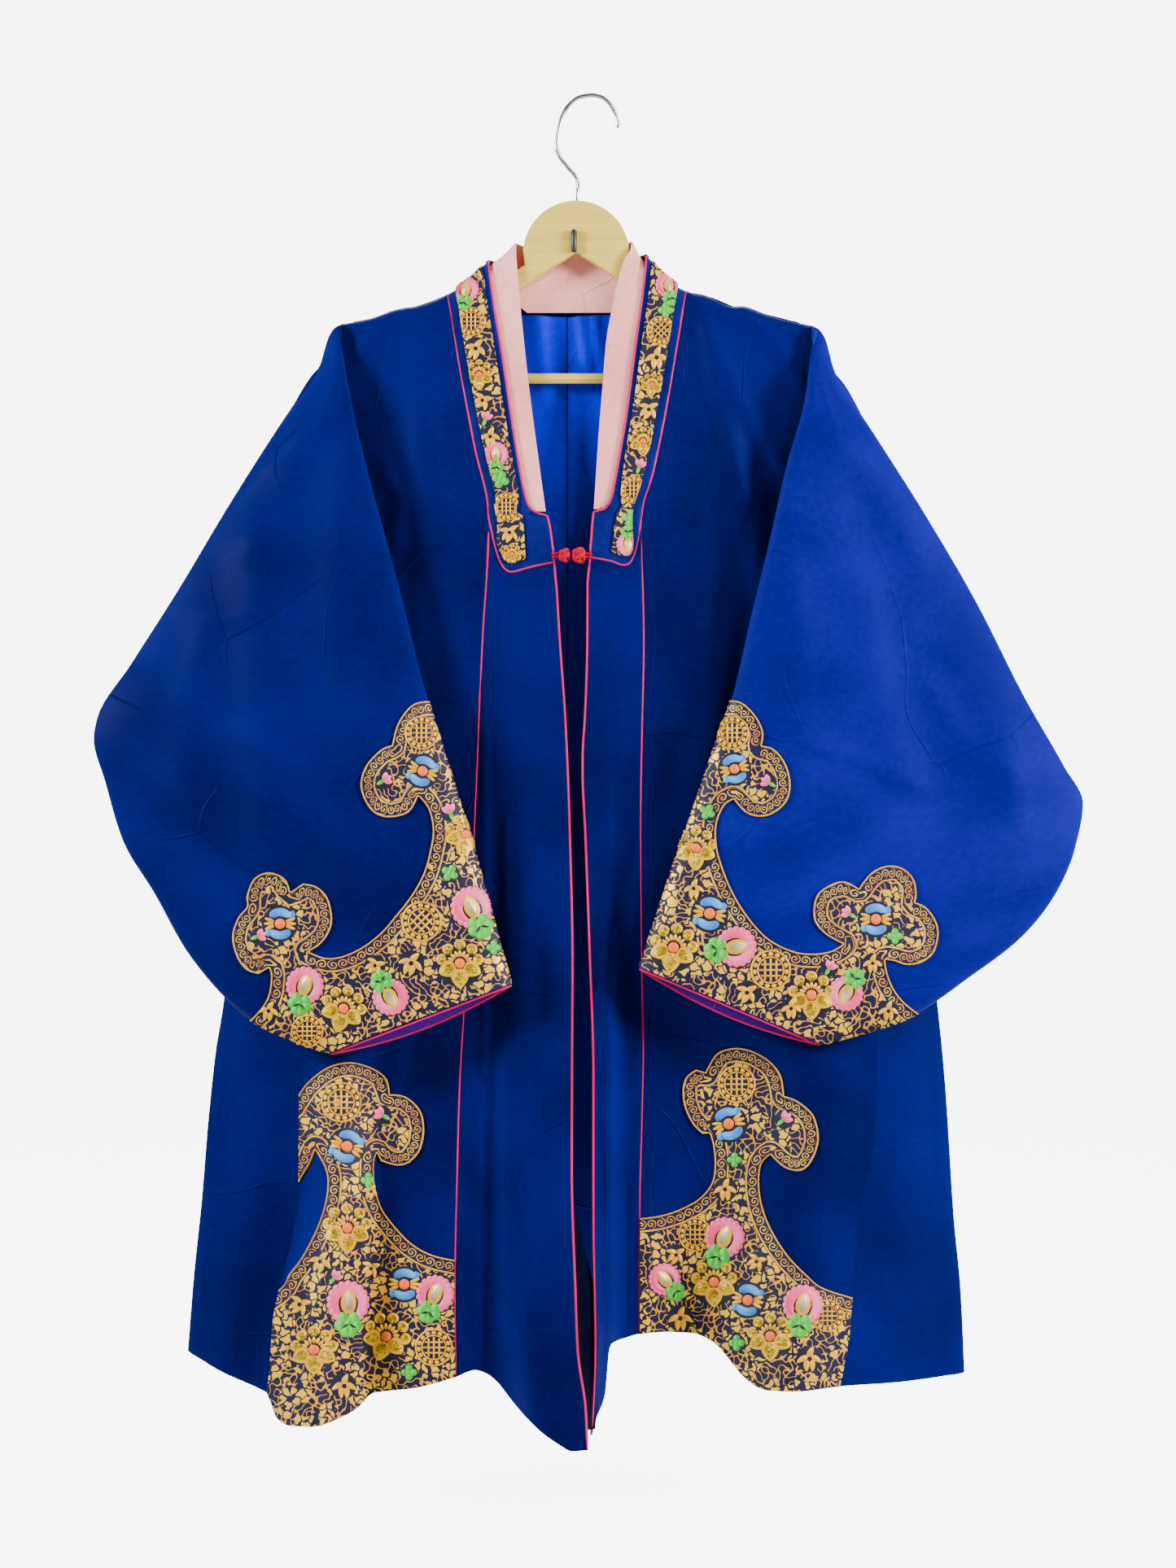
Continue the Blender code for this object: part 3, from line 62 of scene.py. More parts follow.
# Lines that run down the coat, rows of (z, x). Above the collar's foot "edge" is the band's
# inner edge and "princess" its outer edge; below it they are the front edge and the princess seam.
seamLines = {
    "left": {
        "edge": [(-144, -77.4), (-187, -71.4), (-222, -65.5), (-294, -54.7), (-330, -48.7), (-349, -45),
            (-360, -41.5), (-366, -35.6), (-369.5, -24.8), (-403, -19.4), (-423, -17.3), (-480, -13.7),
            (-557, -8.4), (-644, -5), (-768, -2.4), (-845, -2.9), (-950, -3.2), (-1056, 0), (-1112, 2.2),
            (-1157, 8.8), (-1197, 10.8)],
        "princess": [(-174, -114), (-235, -104), (-306, -90.5), (-372, -77.4), (-403, -78.2), (-480, -83),
            (-596, -88), (-662, -91), (-802, -99), (-865, -102.7), (-942, -105), (-1066, -107.4),
            (-1132, -106.4)],
        "seam": [(-418, -272), (-640, -256), (-840, -245), (-960, -245.5), (-1055, -262.4),
            (-1077, -267.8), (-1121, -270.7), (-1146, -273.6)],
        "silhouette": [(-418, -272), (-600, -293), (-801, -312), (-843, -319), (-901, -325), (-973, -331),
            (-1039, -338), (-1109, -344)],
    },
    "right": {
        "edge": [(-139, 61.6), (-175, 57.6), (-211, 52.6), (-246, 48), (-282, 43.2), (-313, 38),
            (-337, 33.6), (-354, 30.1), (-362, 25.2), (-366.5, 14.4), (-403, 11.5), (-423, 9.1),
            (-480, 8.8), (-538, 7.2), (-590, 4.5), (-654, 7.2), (-749, 10.8), (-865, 14.4), (-1000, 14.6),
            (-1107, 16.3), (-1157, 14.6), (-1183.5, 12.4)],
        "princess": [(-171, 97), (-222.5, 88.6), (-258.5, 82.6), (-330, 68.3), (-372, 57.6), (-403, 58),
            (-480, 59.7), (-557, 58.2), (-634, 57), (-772, 58), (-845, 59), (-909, 57.7), (-994, 55.8),
            (-1094, 55.7)],
        "seam": [(-418, 268), (-650, 266), (-885, 265.7), (-935, 262), (-979, 252.5), (-1041, 246),
            (-1101, 241), (-1140.5, 233.3)],
        "silhouette": [(-418, 268), (-600, 292), (-803, 320), (-864, 326), (-994, 334.5), (-1054, 340),
            (-1128, 343)],
    },
}

# Shoulder lines and hems, rows of (x, z)
shoulderLine = {
    "left": [(-77.4, -144), (-114, -174), (-150, -187), (-179, -195), (-206, -200)],
    "right": [(61.6, -139), (97, -171), (117, -176), (142, -186), (174, -193), (207, -201.5)],
}
hemLine = {
    "left": [(10.8, -1197), (-5, -1198), (-14, -1193), (-32, -1180), (-47, -1165), (-58, -1151),
        (-68, -1137), (-78, -1129), (-88, -1126), (-106.4, -1132), (-145, -1142), (-179, -1146),
        (-195, -1160), (-212, -1169), (-233, -1176), (-253, -1175), (-264, -1168), (-273.6, -1146),
        (-289, -1139), (-316, -1127), (-344, -1109)],
    "right": [(12.4, -1183.5), (18, -1163.5), (23, -1149), (27, -1104), (44, -1097), (55.7, -1094),
        (77, -1092), (101, -1093), (119, -1101), (130, -1112), (143, -1127), (156, -1138), (170, -1144),
        (191.5, -1145), (233.3, -1140.5), (282, -1137), (303, -1134.5), (343, -1128)],
}
armpitZ = -418.0
backHemZ = -1091.0

# The collar band's foot, rows of (share across from front edge to princess line, z)
footLine = {
    "left": [(0, -411), (0.2, -413), (0.445, -416.5), (0.655, -419.6), (0.74, -417), (0.82, -409),
        (0.9, -395), (1, -372)],
    "right": [(0, -406.3), (0.2, -408), (0.43, -410.1), (0.66, -413.6), (0.76, -412.4), (0.84, -406.5),
        (0.92, -394), (1, -372)],
}

# Forward depth of the fronts: a row for each height, a column for each line down the cloth
frontColumns = (0, 0.35, 0.7, 1, 1.22, 1.47, 1.76, 2, 2.5, 3)
#   edge lap  mid  princess hollow flank bulge seam wrap silhouette
frontTop = [        # down to the armpit both sides lie alike
    (-140, 12, 12, 11, 10, 10, 9.5, 9, 9, 9, 9), (-200, 13, 12, 11, 10, 10, 9.5, 9, 9, 9, 9),
    (-300, 17, 16, 15, 14, 13.5, 12, 10, 9, 9, 9), (-418, 24, 22, 20, 19, 18, 16, 12, 9, 9, 9)]
frontDepth = {
    "left": frontTop + [
        (-600, 36, 32, 28, 27, 26, 24, 22, 17, 12, 4),
        (-800, 56, 48, 40, 37, 34, 33, 40, 29, 20, 5),
        (-960, 76, 62, 48, 45, 42, 38, 60, 33, 25, 6),
        (-1080, 90, 74, 52, 51, 49, 40, 80, 36, 28, 6),
        (-1200, 98, 82, 54, 56, 55, 42, 92, 40, 30, 6)],
    "right": frontTop + [
        (-600, 34, 31, 28, 27, 25, 26, 25, 19, 12, 4),
        (-800, 52, 43, 37, 35, 29, 34, 44, 38, 26, 5),
        (-960, 68, 48, 38, 35, 26, 40, 62, 52, 34, 6),
        (-1080, 80, 50, 38, 33, 24, 44, 78, 64, 38, 6),
        (-1200, 88, 50, 37, 31, 22, 47, 88, 72, 40, 6)],
}

# Depth of the back, behind the hanger's plane: columns from the side to the centre back
backColumns = (0, 0.05, 0.2, 0.4, 0.6, 0.8, 1)
backDepth = [
    (-180, 9, 9, 10.5, 13, 14, 14, 14),
    (-300, 9, 9, 12, 14, 14, 16, 16),
    (-418, 9, 9, 14, 17, 16, 19, 18),
    (-600, -4, 12, 24, 20, 26, 22, 28),
    (-800, -5, 20, 36, 25, 38, 28, 40),
    (-960, -6, 26, 46, 30, 50, 33, 50),
    (-1120, -6, 32, 56, 35, 62, 38, 60)]
neckSeamBack = -188.0     # at the centre back
neckTopZ = -147.0
neckFall = [(0, 0), (0.12, 0.25), (0.5, 0.8), (1, 1)]     # share to centre back, share of fall
neckRollShare = 0.2          # share to centre back over which the collar turns to full depth
neckDepth = 14.0
neckTrim = 0.3 * pipingRadius    # the back stops this far under the collar's seam
neckShares = (1, 0.72, 0.46, 0.24, 0.08)
bandRows = (0, 0.011, 0.032, 0.056, 0.15, 0.28, 0.42, 0.56, 0.68, 0.78, 0.82, 0.844, 0.86, 0.93)
princessTop = {"left": -384.0, "right": -389.0}

# Largest folds on top of the depth tables: share across and z at each end, half width, height
bigFolds = {
    "left": [(1.35, -215, 1.12, -520, 16, 5), (0.55, -620, 0.42, -1190, 15, 7),
        (1.62, -470, 1.55, -820, 22, 6)],
    "right": [(1.3, -190, 1.55, -470, 15, 6), (1.22, -205, 1.3, -640, 14, 5),
        (0.32, -700, 0.34, -1190, 8, 9)],
}

# Rows of a wall, as heights: millimetres under the shoulder point, then shares to the hem
armDrops = (0, 3, 8.5, 14, 55, 105, 147, 177, 206, 218)
bodySteps = 12
sideColumns = (1, 1.11, 1.24, 1.36, 1.48, 1.6, 1.71, 1.83, 1.92, 2)
centreColumns = (0, 0.2, 0.37, 0.55, 0.66, 0.75, 0.83, 0.91, 1)
wrapColumns = (2, 2.33, 2.67, 3)
liningGap = 1.6
backSteps = (0.045, 0.12, 0.24, 0.38, 0.52, 0.66, 0.8, 0.9, 1)

# Sleeves fold forward over the fronts. Each row is one ring, as x and z of the top fold (t),
# of the outer silhouette (o) and, while the sleeve is closed below, of the underarm seam (b)
sleeveFolded = {
    "left": [(-205, -236, -229, -240, -283, -428), (-200, -264, -264, -292, -294, -438),
        (-186, -325, -309, -363, -316, -458), (-169, -388, -352, -435, -344, -484),
        (-152, -452, -394, -501, -379, -516)],
    "right": [(206, -238, 230, -245, 280.5, -434), (202, -268, 264, -298, 293, -447),
        (186, -326, 309, -369, 316, -473), (171, -392, 355, -448, 348, -508),
        (154, -462, 396, -529, 385, -548)],
}
sleeveOpen = {
    "left": [(-139, -505, -424, -549), (-129, -541, -427, -567), (-118, -576, -417, -605),
        (-104, -622, -401, -658), (-90, -668, -374, -703), (-76, -718, -340, -762),
        (-66, -755, -285, -818), (-57.4, -784.5, -219, -846)],
    "right": [(139, -527, 432, -592), (127, -562, 448.5, -624), (115, -597, 441, -666),
        (101, -638, 424, -705), (87, -677, 395, -742), (75, -713, 350, -777), (65, -743, 292, -815),
        (56, -770, 217, -838)],
}
# The rings' depths, alike on both sides: forward of t, o and b; then how far the layers stand
# off their middle, outside and inside
foldedDepth = [(21, 9, 1, 9, 3), (27, 12, 3, 11, 4), (33, 17, 8, 13, 5), (38, 24, 16, 14, 6),
               (43, 33, 28, 14, 6)]
openDepth = [(46, 40, 14, 6), (49, 42, 14, 6), (51, 46, 15, 7), (54, 50, 16, 8), (57, 54, 16, 8),
             (61, 59, 16, 8), (64, 62, 14, 8), (66, 64, 12, 7)]
layerShares = (0.03, 0.12, 0.3, 0.52, 0.74, 0.91)
edgeShares = (0.94, 0.96, 0.975, 0.986, 0.994)
sleeveDrops = (0, 3, 8.5, 14, 20, 26, 33, 41, 56)     # ring points under the shoulder point
shoulderOut = (3, 2.6, 2.6, 2.6, 2.6, 2.6, 2.6, 3, 3.5, 4, 4, 7, 9, 9.5, 10, 10, 10, 9, 6)
shoulderForward = (10, 6, 4, 3.4, 3, 3, 3, 2.5, 1.5, 0, 0, 2.5, 4, 6, 8, 11, 14, 16.5, 15)
seamFold = 2.3          # half the gap between the two layers at the underarm seam
foldInset = 6.0         # the inner layer turns this far inside the outer one
cuffDrop = 8.0          # the cuff's hidden edge hangs this much lower
facingShare = 0.45      # the facing starts this share up the last sleeve row

# Inner collar: its free edge, rows of (z, x), and its width
innerCollarEdge = {
    "left": [(-128.5, -54), (-191.5, -48.7), (-258.5, -41.5), (-330, -32), (-366, -27)],
    "right": [(-127, 50), (-134, 48.3), (-144, 41.5), (-164, 36.5), (-187, 31.5), (-215, 26.5),
        (-258.5, 23), (-302, 19.5), (-364, 15.5)],
}
innerCollarWidth = 27.0
innerCollarColumns = (0, 0.35, 0.7, 1)
innerCollarFall = {"left": (0, 10, 17.5, 24.5), "right": (0, 17, 22, 25)}     # on the shoulder
innerCollarTop = -138.0    # at the centre back
innerCollarLow = -190.5
innerCollarDepth = 2.3     # behind the band's face

# Ribbon on the band: offset from the outer edge, and the z and x of its inner edge
ribbonOffset = 8.0
ribbonNeck = (0.2, 0.82)
ribbonEnd = 0.97
ribbonInner = {
    "left": [(-160, -80), (-235, -69.5), (-300, -57.5), (-343, -49.5), (-380, -46.5), (-413, -44.4)],
    "right": [(-155, 64), (-235, 54), (-300, 45), (-343, 39), (-380, 34), (-408, 30.5)],
}

# Brocade outlines as ruyi clouds: lobes and hollows as (x, z) seen from the front
cutterReach = (170, -60)    # how far forward the outline's cutter starts and ends
brocadeHem = {
    "left": [(-300, -884), (-252, -893), (-239, -873), (-220, -858), (-200, -853.5), (-181, -858.5),
        (-168, -868), (-165, -882), (-151, -884), (-138, -896), (-134.5, -913), (-138, -931),
        (-148, -942.5), (-159, -945), (-173, -941), (-176.5, -934), (-179, -942), (-178.5, -961),
        (-173, -981), (-162, -997), (-145.5, -1014), (-126, -1024.5), (-99, -1030), (-99, -1220),
        (-300, -1220), (-300, -1080), (-262, -1054), (-254, -1041), (-242, -1025), (-228, -997),
        (-221, -972.5), (-221, -950.5), (-231, -931), (-236, -944), (-246, -960), (-300, -960)],
    "right": [(45, -991), (57, -991.5), (77, -988.5), (95, -982), (110, -973), (120, -960), (122.5, -944),
        (121, -927), (118, -916.5), (112, -917), (103.5, -909), (96, -894), (94, -878.5), (97, -867),
        (106, -860), (114.5, -862.5), (117, -857), (125, -845.5), (139, -841), (154, -843), (170, -851.5),
        (181, -865), (184, -883.5), (196, -888), (209.5, -900), (214.5, -918), (212, -933), (205, -945.5),
        (196, -950), (183, -946), (172, -935.5), (164, -944), (162, -962), (165.5, -983.5), (174, -1004),
        (187, -1024), (203, -1041), (220, -1054), (260, -1066), (260, -1220), (45, -1220)],
}
brocadeCuff = {
    "left": [(-110, -536), (-131, -534), (-146, -538), (-158, -554), (-163, -573), (-173, -577),
        (-186, -591), (-191, -608), (-186, -624), (-177, -634), (-164, -637), (-148, -632), (-140, -618),
        (-131, -629), (-127, -647), (-129, -664), (-135, -686), (-146, -706), (-160, -724), (-173, -739),
        (-190, -752), (-208, -760), (-223, -761), (-237, -755.5), (-227.5, -750), (-219, -739),
        (-216, -726), (-220, -708), (-230, -698), (-242, -695.5), (-253, -703), (-258, -691),
        (-272, -685.5), (-285, -691), (-291.5, -706), (-291.5, -716), (-299.5, -726), (-304.5, -743),
        (-300, -761), (-291.5, -772), (-281, -775.5), (-272, -770), (-270, -778), (-273, -796),
        (-283, -811), (-300, -826), (-300, -900), (10, -900), (10, -536)],
    "right": [(110, -536), (137, -533.5), (149, -537), (160, -549), (165.5, -562), (164, -573.5),
        (175, -576.5), (185, -589), (189.5, -606), (186.5, -622), (175, -633), (162, -636.5), (149, -632),
        (139.5, -621), (131, -626.5), (124.5, -641.5), (124, -659.5), (128, -677), (137.5, -701),
        (151, -723.5), (168.5, -743), (188.5, -754), (206, -757.5), (224, -755.5), (236, -749),
        (221.5, -741), (211.5, -730), (210, -716.5), (214.5, -703.5), (228, -695), (239, -694),
        (250, -700), (255, -692.5), (263.5, -684), (276.5, -679.5), (290, -682.5), (299, -692.5),
        (301, -705.5), (299.5, -712), (309.5, -716.5), (318, -728), (320.5, -741), (316, -757),
        (305, -765.5), (292, -767.5), (281, -764), (273.5, -763), (274.5, -772), (280, -787),
        (290, -800.5), (305, -812), (305, -900), (-10, -900), (-10, -536)],
}

# Hanger
boardDepth = 12.0
hangerOutline = [      # right half: x from the centre line, z
    (46, -149), (62, -159), (80, -171), (100, -181.5), (125, -191), (150, -199), (175, -205.5),
    (190, -209), (198, -213), (202, -221), (201.5, -240), (197, -252), (189, -257), (182.4, -254.5),
    (182.4, -242), (176, -236), (150, -222), (100, -198), (50, -170), (25, -153)]
hangerCrown = (0, -139, 47)    # centre x and z, radius
archZ = -138.0
barHalf = 182.1
barTop = -244.0
barBottom = -253.4
barDepth = 9.0
barRidges = 5
barGroove = 0.86        # share of full size at the bottom of a groove
wireSize = 3.6
hookRoute = [          # x from the hanger's centre line, z
    (37.4, -26.6), (35.3, -15.8), (28.8, -4.3), (21.6, 0.7), (13.7, 2.2), (3.6, 0.7),
    (-5.8, -5.8), (-12.2, -15.8), (-15.8, -28.8), (-17.6, -42), (-14.6, -52), (-7.2, -61.9),
    (0.4, -71.5), (1.9, -79), (0.6, -85), (0.4, -91.7)]
pegShape = (-2.0, -118.5, -138.5, 2.5)      # x, top, bottom, radius

# Knotted button and loop, turned about a line across the front edges
knotZ = -405.0
knotForward = 26.4


# Interpolation and placing

def follow(rows, key, column=1):
    if rows[0][0] > rows[-1][0]:
        rows = rows[::-1]
    if key <= rows[0][0]:
        return rows[0][column]
    if key >= rows[-1][0]:
        return rows[-1][column]
    i = max(j for j in range(len(rows) - 1) if rows[j][0] <= key)

    def secant(j):
        return (rows[j + 1][column] - rows[j][column]) / (rows[j + 1][0] - rows[j][0])

    def slope(j):
        if j == 0:
            return secant(0)
        if j == len(rows) - 1:
            return secant(j - 1)
        before, after = secant(j - 1), secant(j)
        return 0 if before * after <= 0 else 2 * before * after / (before + after)

    span = rows[i + 1][0] - rows[i][0]
    a, b, c, d = cubic((key - rows[i][0]) / span)
    return a * rows[i][column] + b * span * slope(i) + c * rows[i + 1][column] + d * span * slope(i + 1)


def mix(a, b, share):
    return a + (b - a) * share


def cubic(t):       # weights of the start, its slope, the end and its slope
    return 2 * t**3 - 3 * t**2 + 1, t**3 - 2 * t**2 + t, 3 * t**2 - 2 * t**3, t**3 - t**2


def place(x, depth, z):     # a spot of the outlines at its true place for its depth
    near = (eyeDistance - depth) / eyeDistance
    return Vector((eyeX + (x - eyeX) * near - hookX, -depth, eyeZ + (z - eyeZ) * near)) * mm


def overHanger(drop):
    t = min(max(drop / shoulderRoll, 0), 1)
    return sqrt(1 - (1 - t) ** 2)


# The fronts

def seamX(side, z):
    if z < armpitZ:
        return follow(seamLines[side]["seam"], z)
    (topX, topZ), (armZ, armX) = shoulderLine[side][-1], seamLines[side]["seam"][0]
    return mix(topX, armX, (topZ - z) / (topZ - armZ))


def across(side, w, z):
    lines = seamLines[side]
    edge, princess = follow(lines["edge"], z), follow(lines["princess"], z)
    if w <= 1:
        return mix(edge, princess, w)
    if w <= 2:
        return mix(princess, seamX(side, z), w - 1)
    return mix(seamX(side, z), follow(lines["silhouette"], z), w - 2)


def shareAt(side, x, z):
    stops = [across(side, w, z) for w in range(3)]
    for w in (0, 1):
        share = (x - stops[w]) / (stops[w + 1] - stops[w])
        if share <= 1 or w == 1:
            return min(max(w + share, 0), 2)
    return 2


def topZ(side, w):
    rows = shoulderLine[side]
    stops = (rows[0][0], seamLines[side]["princess"][0][1], rows[-1][0])
    x = mix(stops[0], stops[1], w) if w <= 1 else mix(stops[1], stops[2], min(w - 1, 1))
    return follow(rows, x)


def hemZ(side, w):
    lines = seamLines[side]
    stops = [lines[name][-1][1] for name in ("edge", "princess", "seam", "silhouette")]
    i = min(int(w), 2)
    return follow(hemLine[side], mix(stops[i], stops[i + 1], w - i))


def rowZ(side, w, v):
    if v <= 1:
        return mix(topZ(side, w), armpitZ, v)
    return mix(armpitZ, hemZ(side, w), v - 1)


def forward(side, w, z):
    columns = [(frontColumns[j], follow(frontDepth[side], z, j + 1))
               for j in range(len(frontColumns))]
    depth = follow(columns, w)
    for wA, zA, wB, zB, width, height in bigFolds[side]:
        t = (zA - z) / (zA - zB)
        if 0 < t and w < 2:
            away = (across(side, w, z) - across(side, mix(wA, wB, min(t, 1)), z)) / width
            fade = min(t * 4, 1) * (1 if zB < -1150 else min(max((1.1 - t) * 4, 0), 1))
            depth += height * exp(-away * away) * fade
    if w > 1.8:
        arm = min(max((z - armpitZ) / 60 + 1, 0), 1)
        depth = mix(depth, 9, arm * min((w - 1.8) / 0.2, 1))
    return depth * overHanger(topZ(side, w) - z)


def frontSpot(side, w, z):
    return place(across(side, w, z), forward(side, w, z), z)


# Walls of cloth

def pulled(line, inner, millimetres):
    points = []
    for i, (point, target) in enumerate(zip(line, inner)):
        along = (line[min(i + 1, len(line) - 1)] - line[max(i - 1, 0)]).normalized()
        way = (target - point).normalized()
        points.append(point + way * millimetres * mm / max(along.cross(way).length, 0.5))
    return points


def trim(grid, first=0, last=0):
    grid = [list(row) for row in grid]
    for column, inner, size in ((0, 1, first), (-1, -2, last)):
        if size:
            edge = pulled([row[column] for row in grid], [row[inner] for row in grid], size)
            for row, point in zip(grid, edge):
                row[column] = point
    return grid


def faced(side, grid):      # rows run from the viewer's left to right
    return [row[::-1] for row in grid] if side == "left" else grid


# Fronts and collar

def sideGrid(side):
    seam = princessPoints(side, [rowZ(side, 1, v) for v in allLevels], -pipedEdge)
    return [[start] + [frontSpot(side, w, rowZ(side, w, v)) for w in sideColumns[1:]]
            for start, v in zip(seam, allLevels)]


def beside(points, away):
    line = []
    for i, (x, z) in enumerate(points):
        before, after = points[max(i - 1, 0)], points[min(i + 1, len(points) - 1)]
        run, rise = after[0] - before[0], after[1] - before[1]
        size = hypot(run, rise)
        line.append((x + away * rise / size, z - away * run / size))
    return line


def laid(side, points, sink=0.0):
    return [place(x, forward(side, shareAt(side, x, z), z) - sink, z) for x, z in points]


def princessPoints(side, heights, inwards=0.0):
    line = [(across(side, 1, z), z) for z in heights]
    return laid(side, beside(line, inwards * outward[side]))


def footPoints(side, away=0.0):
    points = [(across(side, w, follow(footLine[side], w)), follow(footLine[side], w))
              for w in centreColumns]
    return beside(points, away * outward[side])


def edgePoints(side):
    band = [mix(topZ(side, 0), footLine[side][0][1], t) for t in bandRows]
    below = [mix(footLine[side][0][1] - pipedEdge, hemZ(side, 0), i / bodySteps)
             for i in range(bodySteps + 1)]
    return [(follow(seamLines[side]["edge"], z), z) for z in band + below]


def centreGrid(side, inset):
    foot = footPoints(side, pipedEdge)
    edge = beside(edgePoints(side), -inset * outward[side])[len(bandRows):]
    steps = [i / bodySteps for i in range(bodySteps + 1)]
    seam = princessPoints(side, [mix(princessTop[side] - 7, hemZ(side, 1), t) for t in steps],
                           pipedEdge)
    rows = []
    for i, t in enumerate(steps):
        inner = list(zip(centreColumns, foot))[1:-1]
        start = (edge[i][0], foot[0][1] if i == 0 else edge[i][1])
        row = laid(side, [start])
        if i == 0:
            row += laid(side, [spot for _, spot in inner])
        else:
            row += [frontSpot(side, w, mix(z, hemZ(side, w), t)) for w, (_, z) in inner]
        rows.append(row + [seam[i]])
    return rows


def neckRoll(g):
    return overHanger(shoulderRoll * g / neckRollShare)


def neckSeamZ(side, g):
    return mix(topZ(side, 1), neckSeamBack, follow(neckFall, g))


def neckRows(side):
    start = (shoulderLine[side][0][0], seamLines[side]["princess"][0][1])
    return [((mix(start[0], backCentreX, g), mix(topZ(side, 0), neckTopZ, g)),
             (mix(start[1], backCentreX, g), neckSeamZ(side, g)),
             neckDepth * neckRoll(g)) for g in neckShares]


def bandSpot(side, row, w):
    if isinstance(row, tuple):
        (xIn, zIn), (xOut, zOut), behind = row
        return place(mix(xIn, xOut, w), -behind, mix(zIn, zOut, w))
    return frontSpot(side, w, mix(topZ(side, w), follow(footLine[side], w), row))


def bandGrid(side, inset, outset):
    shares = list(bandRows)
    neck = [[bandSpot(side, row, w) for w in centreColumns] for row in neckRows(side)]
    front = [[bandSpot(side, row, w) for w in centreColumns] for row in shares]
    inner = laid(side, beside(edgePoints(side), -inset * outward[side])[:len(shares)])
    outer = princessPoints(side, [mix(topZ(side, 1), footLine[side][-1][1], t) for t in shares],
                            outset)
    for row, start, end in zip(front, inner, outer):
        row[0], row[-1] = start, end
    foot = footPoints(side, -pipedEdge)
    corner = beside(edgePoints(side), -inset * outward[side])[len(shares)][0]
    end = princessPoints(side, [foot[-1][1] + 1, foot[-1][1]], outset)[1]
    front.append(laid(side, [(corner, foot[0][1])] + foot[1:-1]) + [end])
    neck = trim(neck, first=inset, last=outset)
    return neck + front


# Back

def hemBack(side, b):
    return mix(hemZ(side, 3), backHemZ, min(b * 4, 1))


def backSpot(side, b, v):
    seamTop = shoulderLine[side][-1]
    neckX = seamLines[side]["princess"][0][1]
    xTop = mix(seamTop[0], backCentreX, b)
    g = max((xTop - neckX) / (backCentreX - neckX), 0)
    top = neckSeamZ(side, g) if g else follow(shoulderLine[side], xTop)
    z = mix(top, armpitZ, v) if v <= 1 else mix(armpitZ, hemBack(side, b), v - 1)
    if z < armpitZ:
        start = follow(seamLines[side]["silhouette"], z)
    else:
        start = seamX(side, min(z, seamTop[1]))
    columns = [(share, follow(backDepth, z, j + 1)) for j, share in enumerate(backColumns)]
    full = max(overHanger(top - z), neckRoll(g) if g else 0)
    return place(mix(start, backCentreX, b), -follow(columns, b) * full, z)


def backGrid(side):
    rows = []
    for v in allLevels:
        z = rowZ(side, 2, v)
        row = []
        for w in wrapColumns:
            b = (w - 2) * 0.04
            x = mix(seamX(side, z), backCentreX, b * (0.1 if v > 0.999 else 1))
            if v > 1.001:
                row.append(frontSpot(side, w, rowZ(side, w, v)))
            elif v > 0.999:
                row.append(place(x, mix(9, -9, b / backSteps[0]), z))
            else:
                row.append(place(x, -9 * overHanger(shoulderLine[side][-1][1] - z), z))
        rows.append(row + [backSpot(side, b, v) for b in backSteps])
    return rows


# Sleeves

def layerSwell(share):
    return sqrt(max(1 - abs(2 * share - 1) ** 3.5, 0))


def armholeRing(side):
    top, sign = shoulderLine[side][-1][1], outward[side]

    def spot(drop, facing):
        z = top - drop
        return (seamX(side, z) + sign * seamGap, z, facing * 9 * overHanger(drop))

    front = [spot(d, 1) for d in sleeveDrops]
    armpit = (seamX(side, armpitZ) + sign * seamGap, armpitZ - seamGap / 2, 9)
    return front + [armpit, spot(206, -1)] + [spot(d, -1) for d in sleeveDrops[:0:-1]]


def shoulderRing(side, armhole):
    ring = [(x + outward[side] * out, z, f + more)
            for (x, z, f), out, more in zip(armhole, shoulderOut, shoulderForward)]
    x, z, f = ring[0]
    return [(x, z - 1.5, f)] + ring[1:]


def upperLayer(start, end, outside):
    return [(mix(start[0], end[0], s), mix(start[1], end[1], s),
             mix(start[2], end[2], s) + outside * layerSwell(s)) for s in reversed(layerShares)]


def foldedRing(row, depths):
    (tx, tz, ox, oz, bx, bz), (tf, of, bf, outside, inside) = row, depths
    turn = 1 - min(foldInset / hypot(ox - tx, oz - tz), 0.3)
    ring = [(tx, tz, tf)]
    for share in layerShares:
        s = share * turn
        backOff = inside * layerSwell(share) * (1 - share) - 2 * share
        ring.append((mix(tx, ox, s), mix(tz, oz, s), mix(tf, of, s) - backOff))
    turnX, turnZ = mix(tx, ox, turn), mix(tz, oz, turn)
    ring += [(turnX, turnZ, of), (mix(turnX, bx, 0.08), mix(turnZ, bz, 0.08), of - 3),
             (bx, bz, bf + seamFold), (mix(bx, ox, 0.01), mix(bz, oz, 0.01), bf - seamFold),
             (mix(ox, bx, 0.06), mix(oz, bz, 0.06), of - 9), (ox, oz, of)]
    return ring + upperLayer(ring[0], ring[-1], outside)


def openRing(row, depths, sign, drop):
    (tx, tz, ox, oz), (tf, of, outside, inside) = row, depths
    ring = [(tx, tz, tf)]
    for s in layerShares + edgeShares:
        low = drop * sin(pi * s)
        ring.append((mix(tx, ox, s) - low * 0.25 * sign, mix(tz, oz, s) - low,
                     mix(tf, of, s) - inside * layerSwell(s)))
    ring.append((ox, oz, of))
    return ring + upperLayer(ring[0], ring[-1], outside)


def sleeveRings(side):
    armhole = armholeRing(side)
    rings = [armhole, shoulderRing(side, armhole)]
    rings += [foldedRing(row, depths) for row, depths in zip(sleeveFolded[side], foldedDepth)]
    rings += [openRing(row, depths, outward[side], cuffDrop if row is sleeveOpen[side][-1] else 0)
              for row, depths in zip(sleeveOpen[side], openDepth)]
    rings = [[place(x, f, z) for x, z, f in ring] for ring in rings]
    if side == "right":
        rings = [[ring[0]] + ring[:0:-1] for ring in rings]
    return rings


# Cloth as fine grids

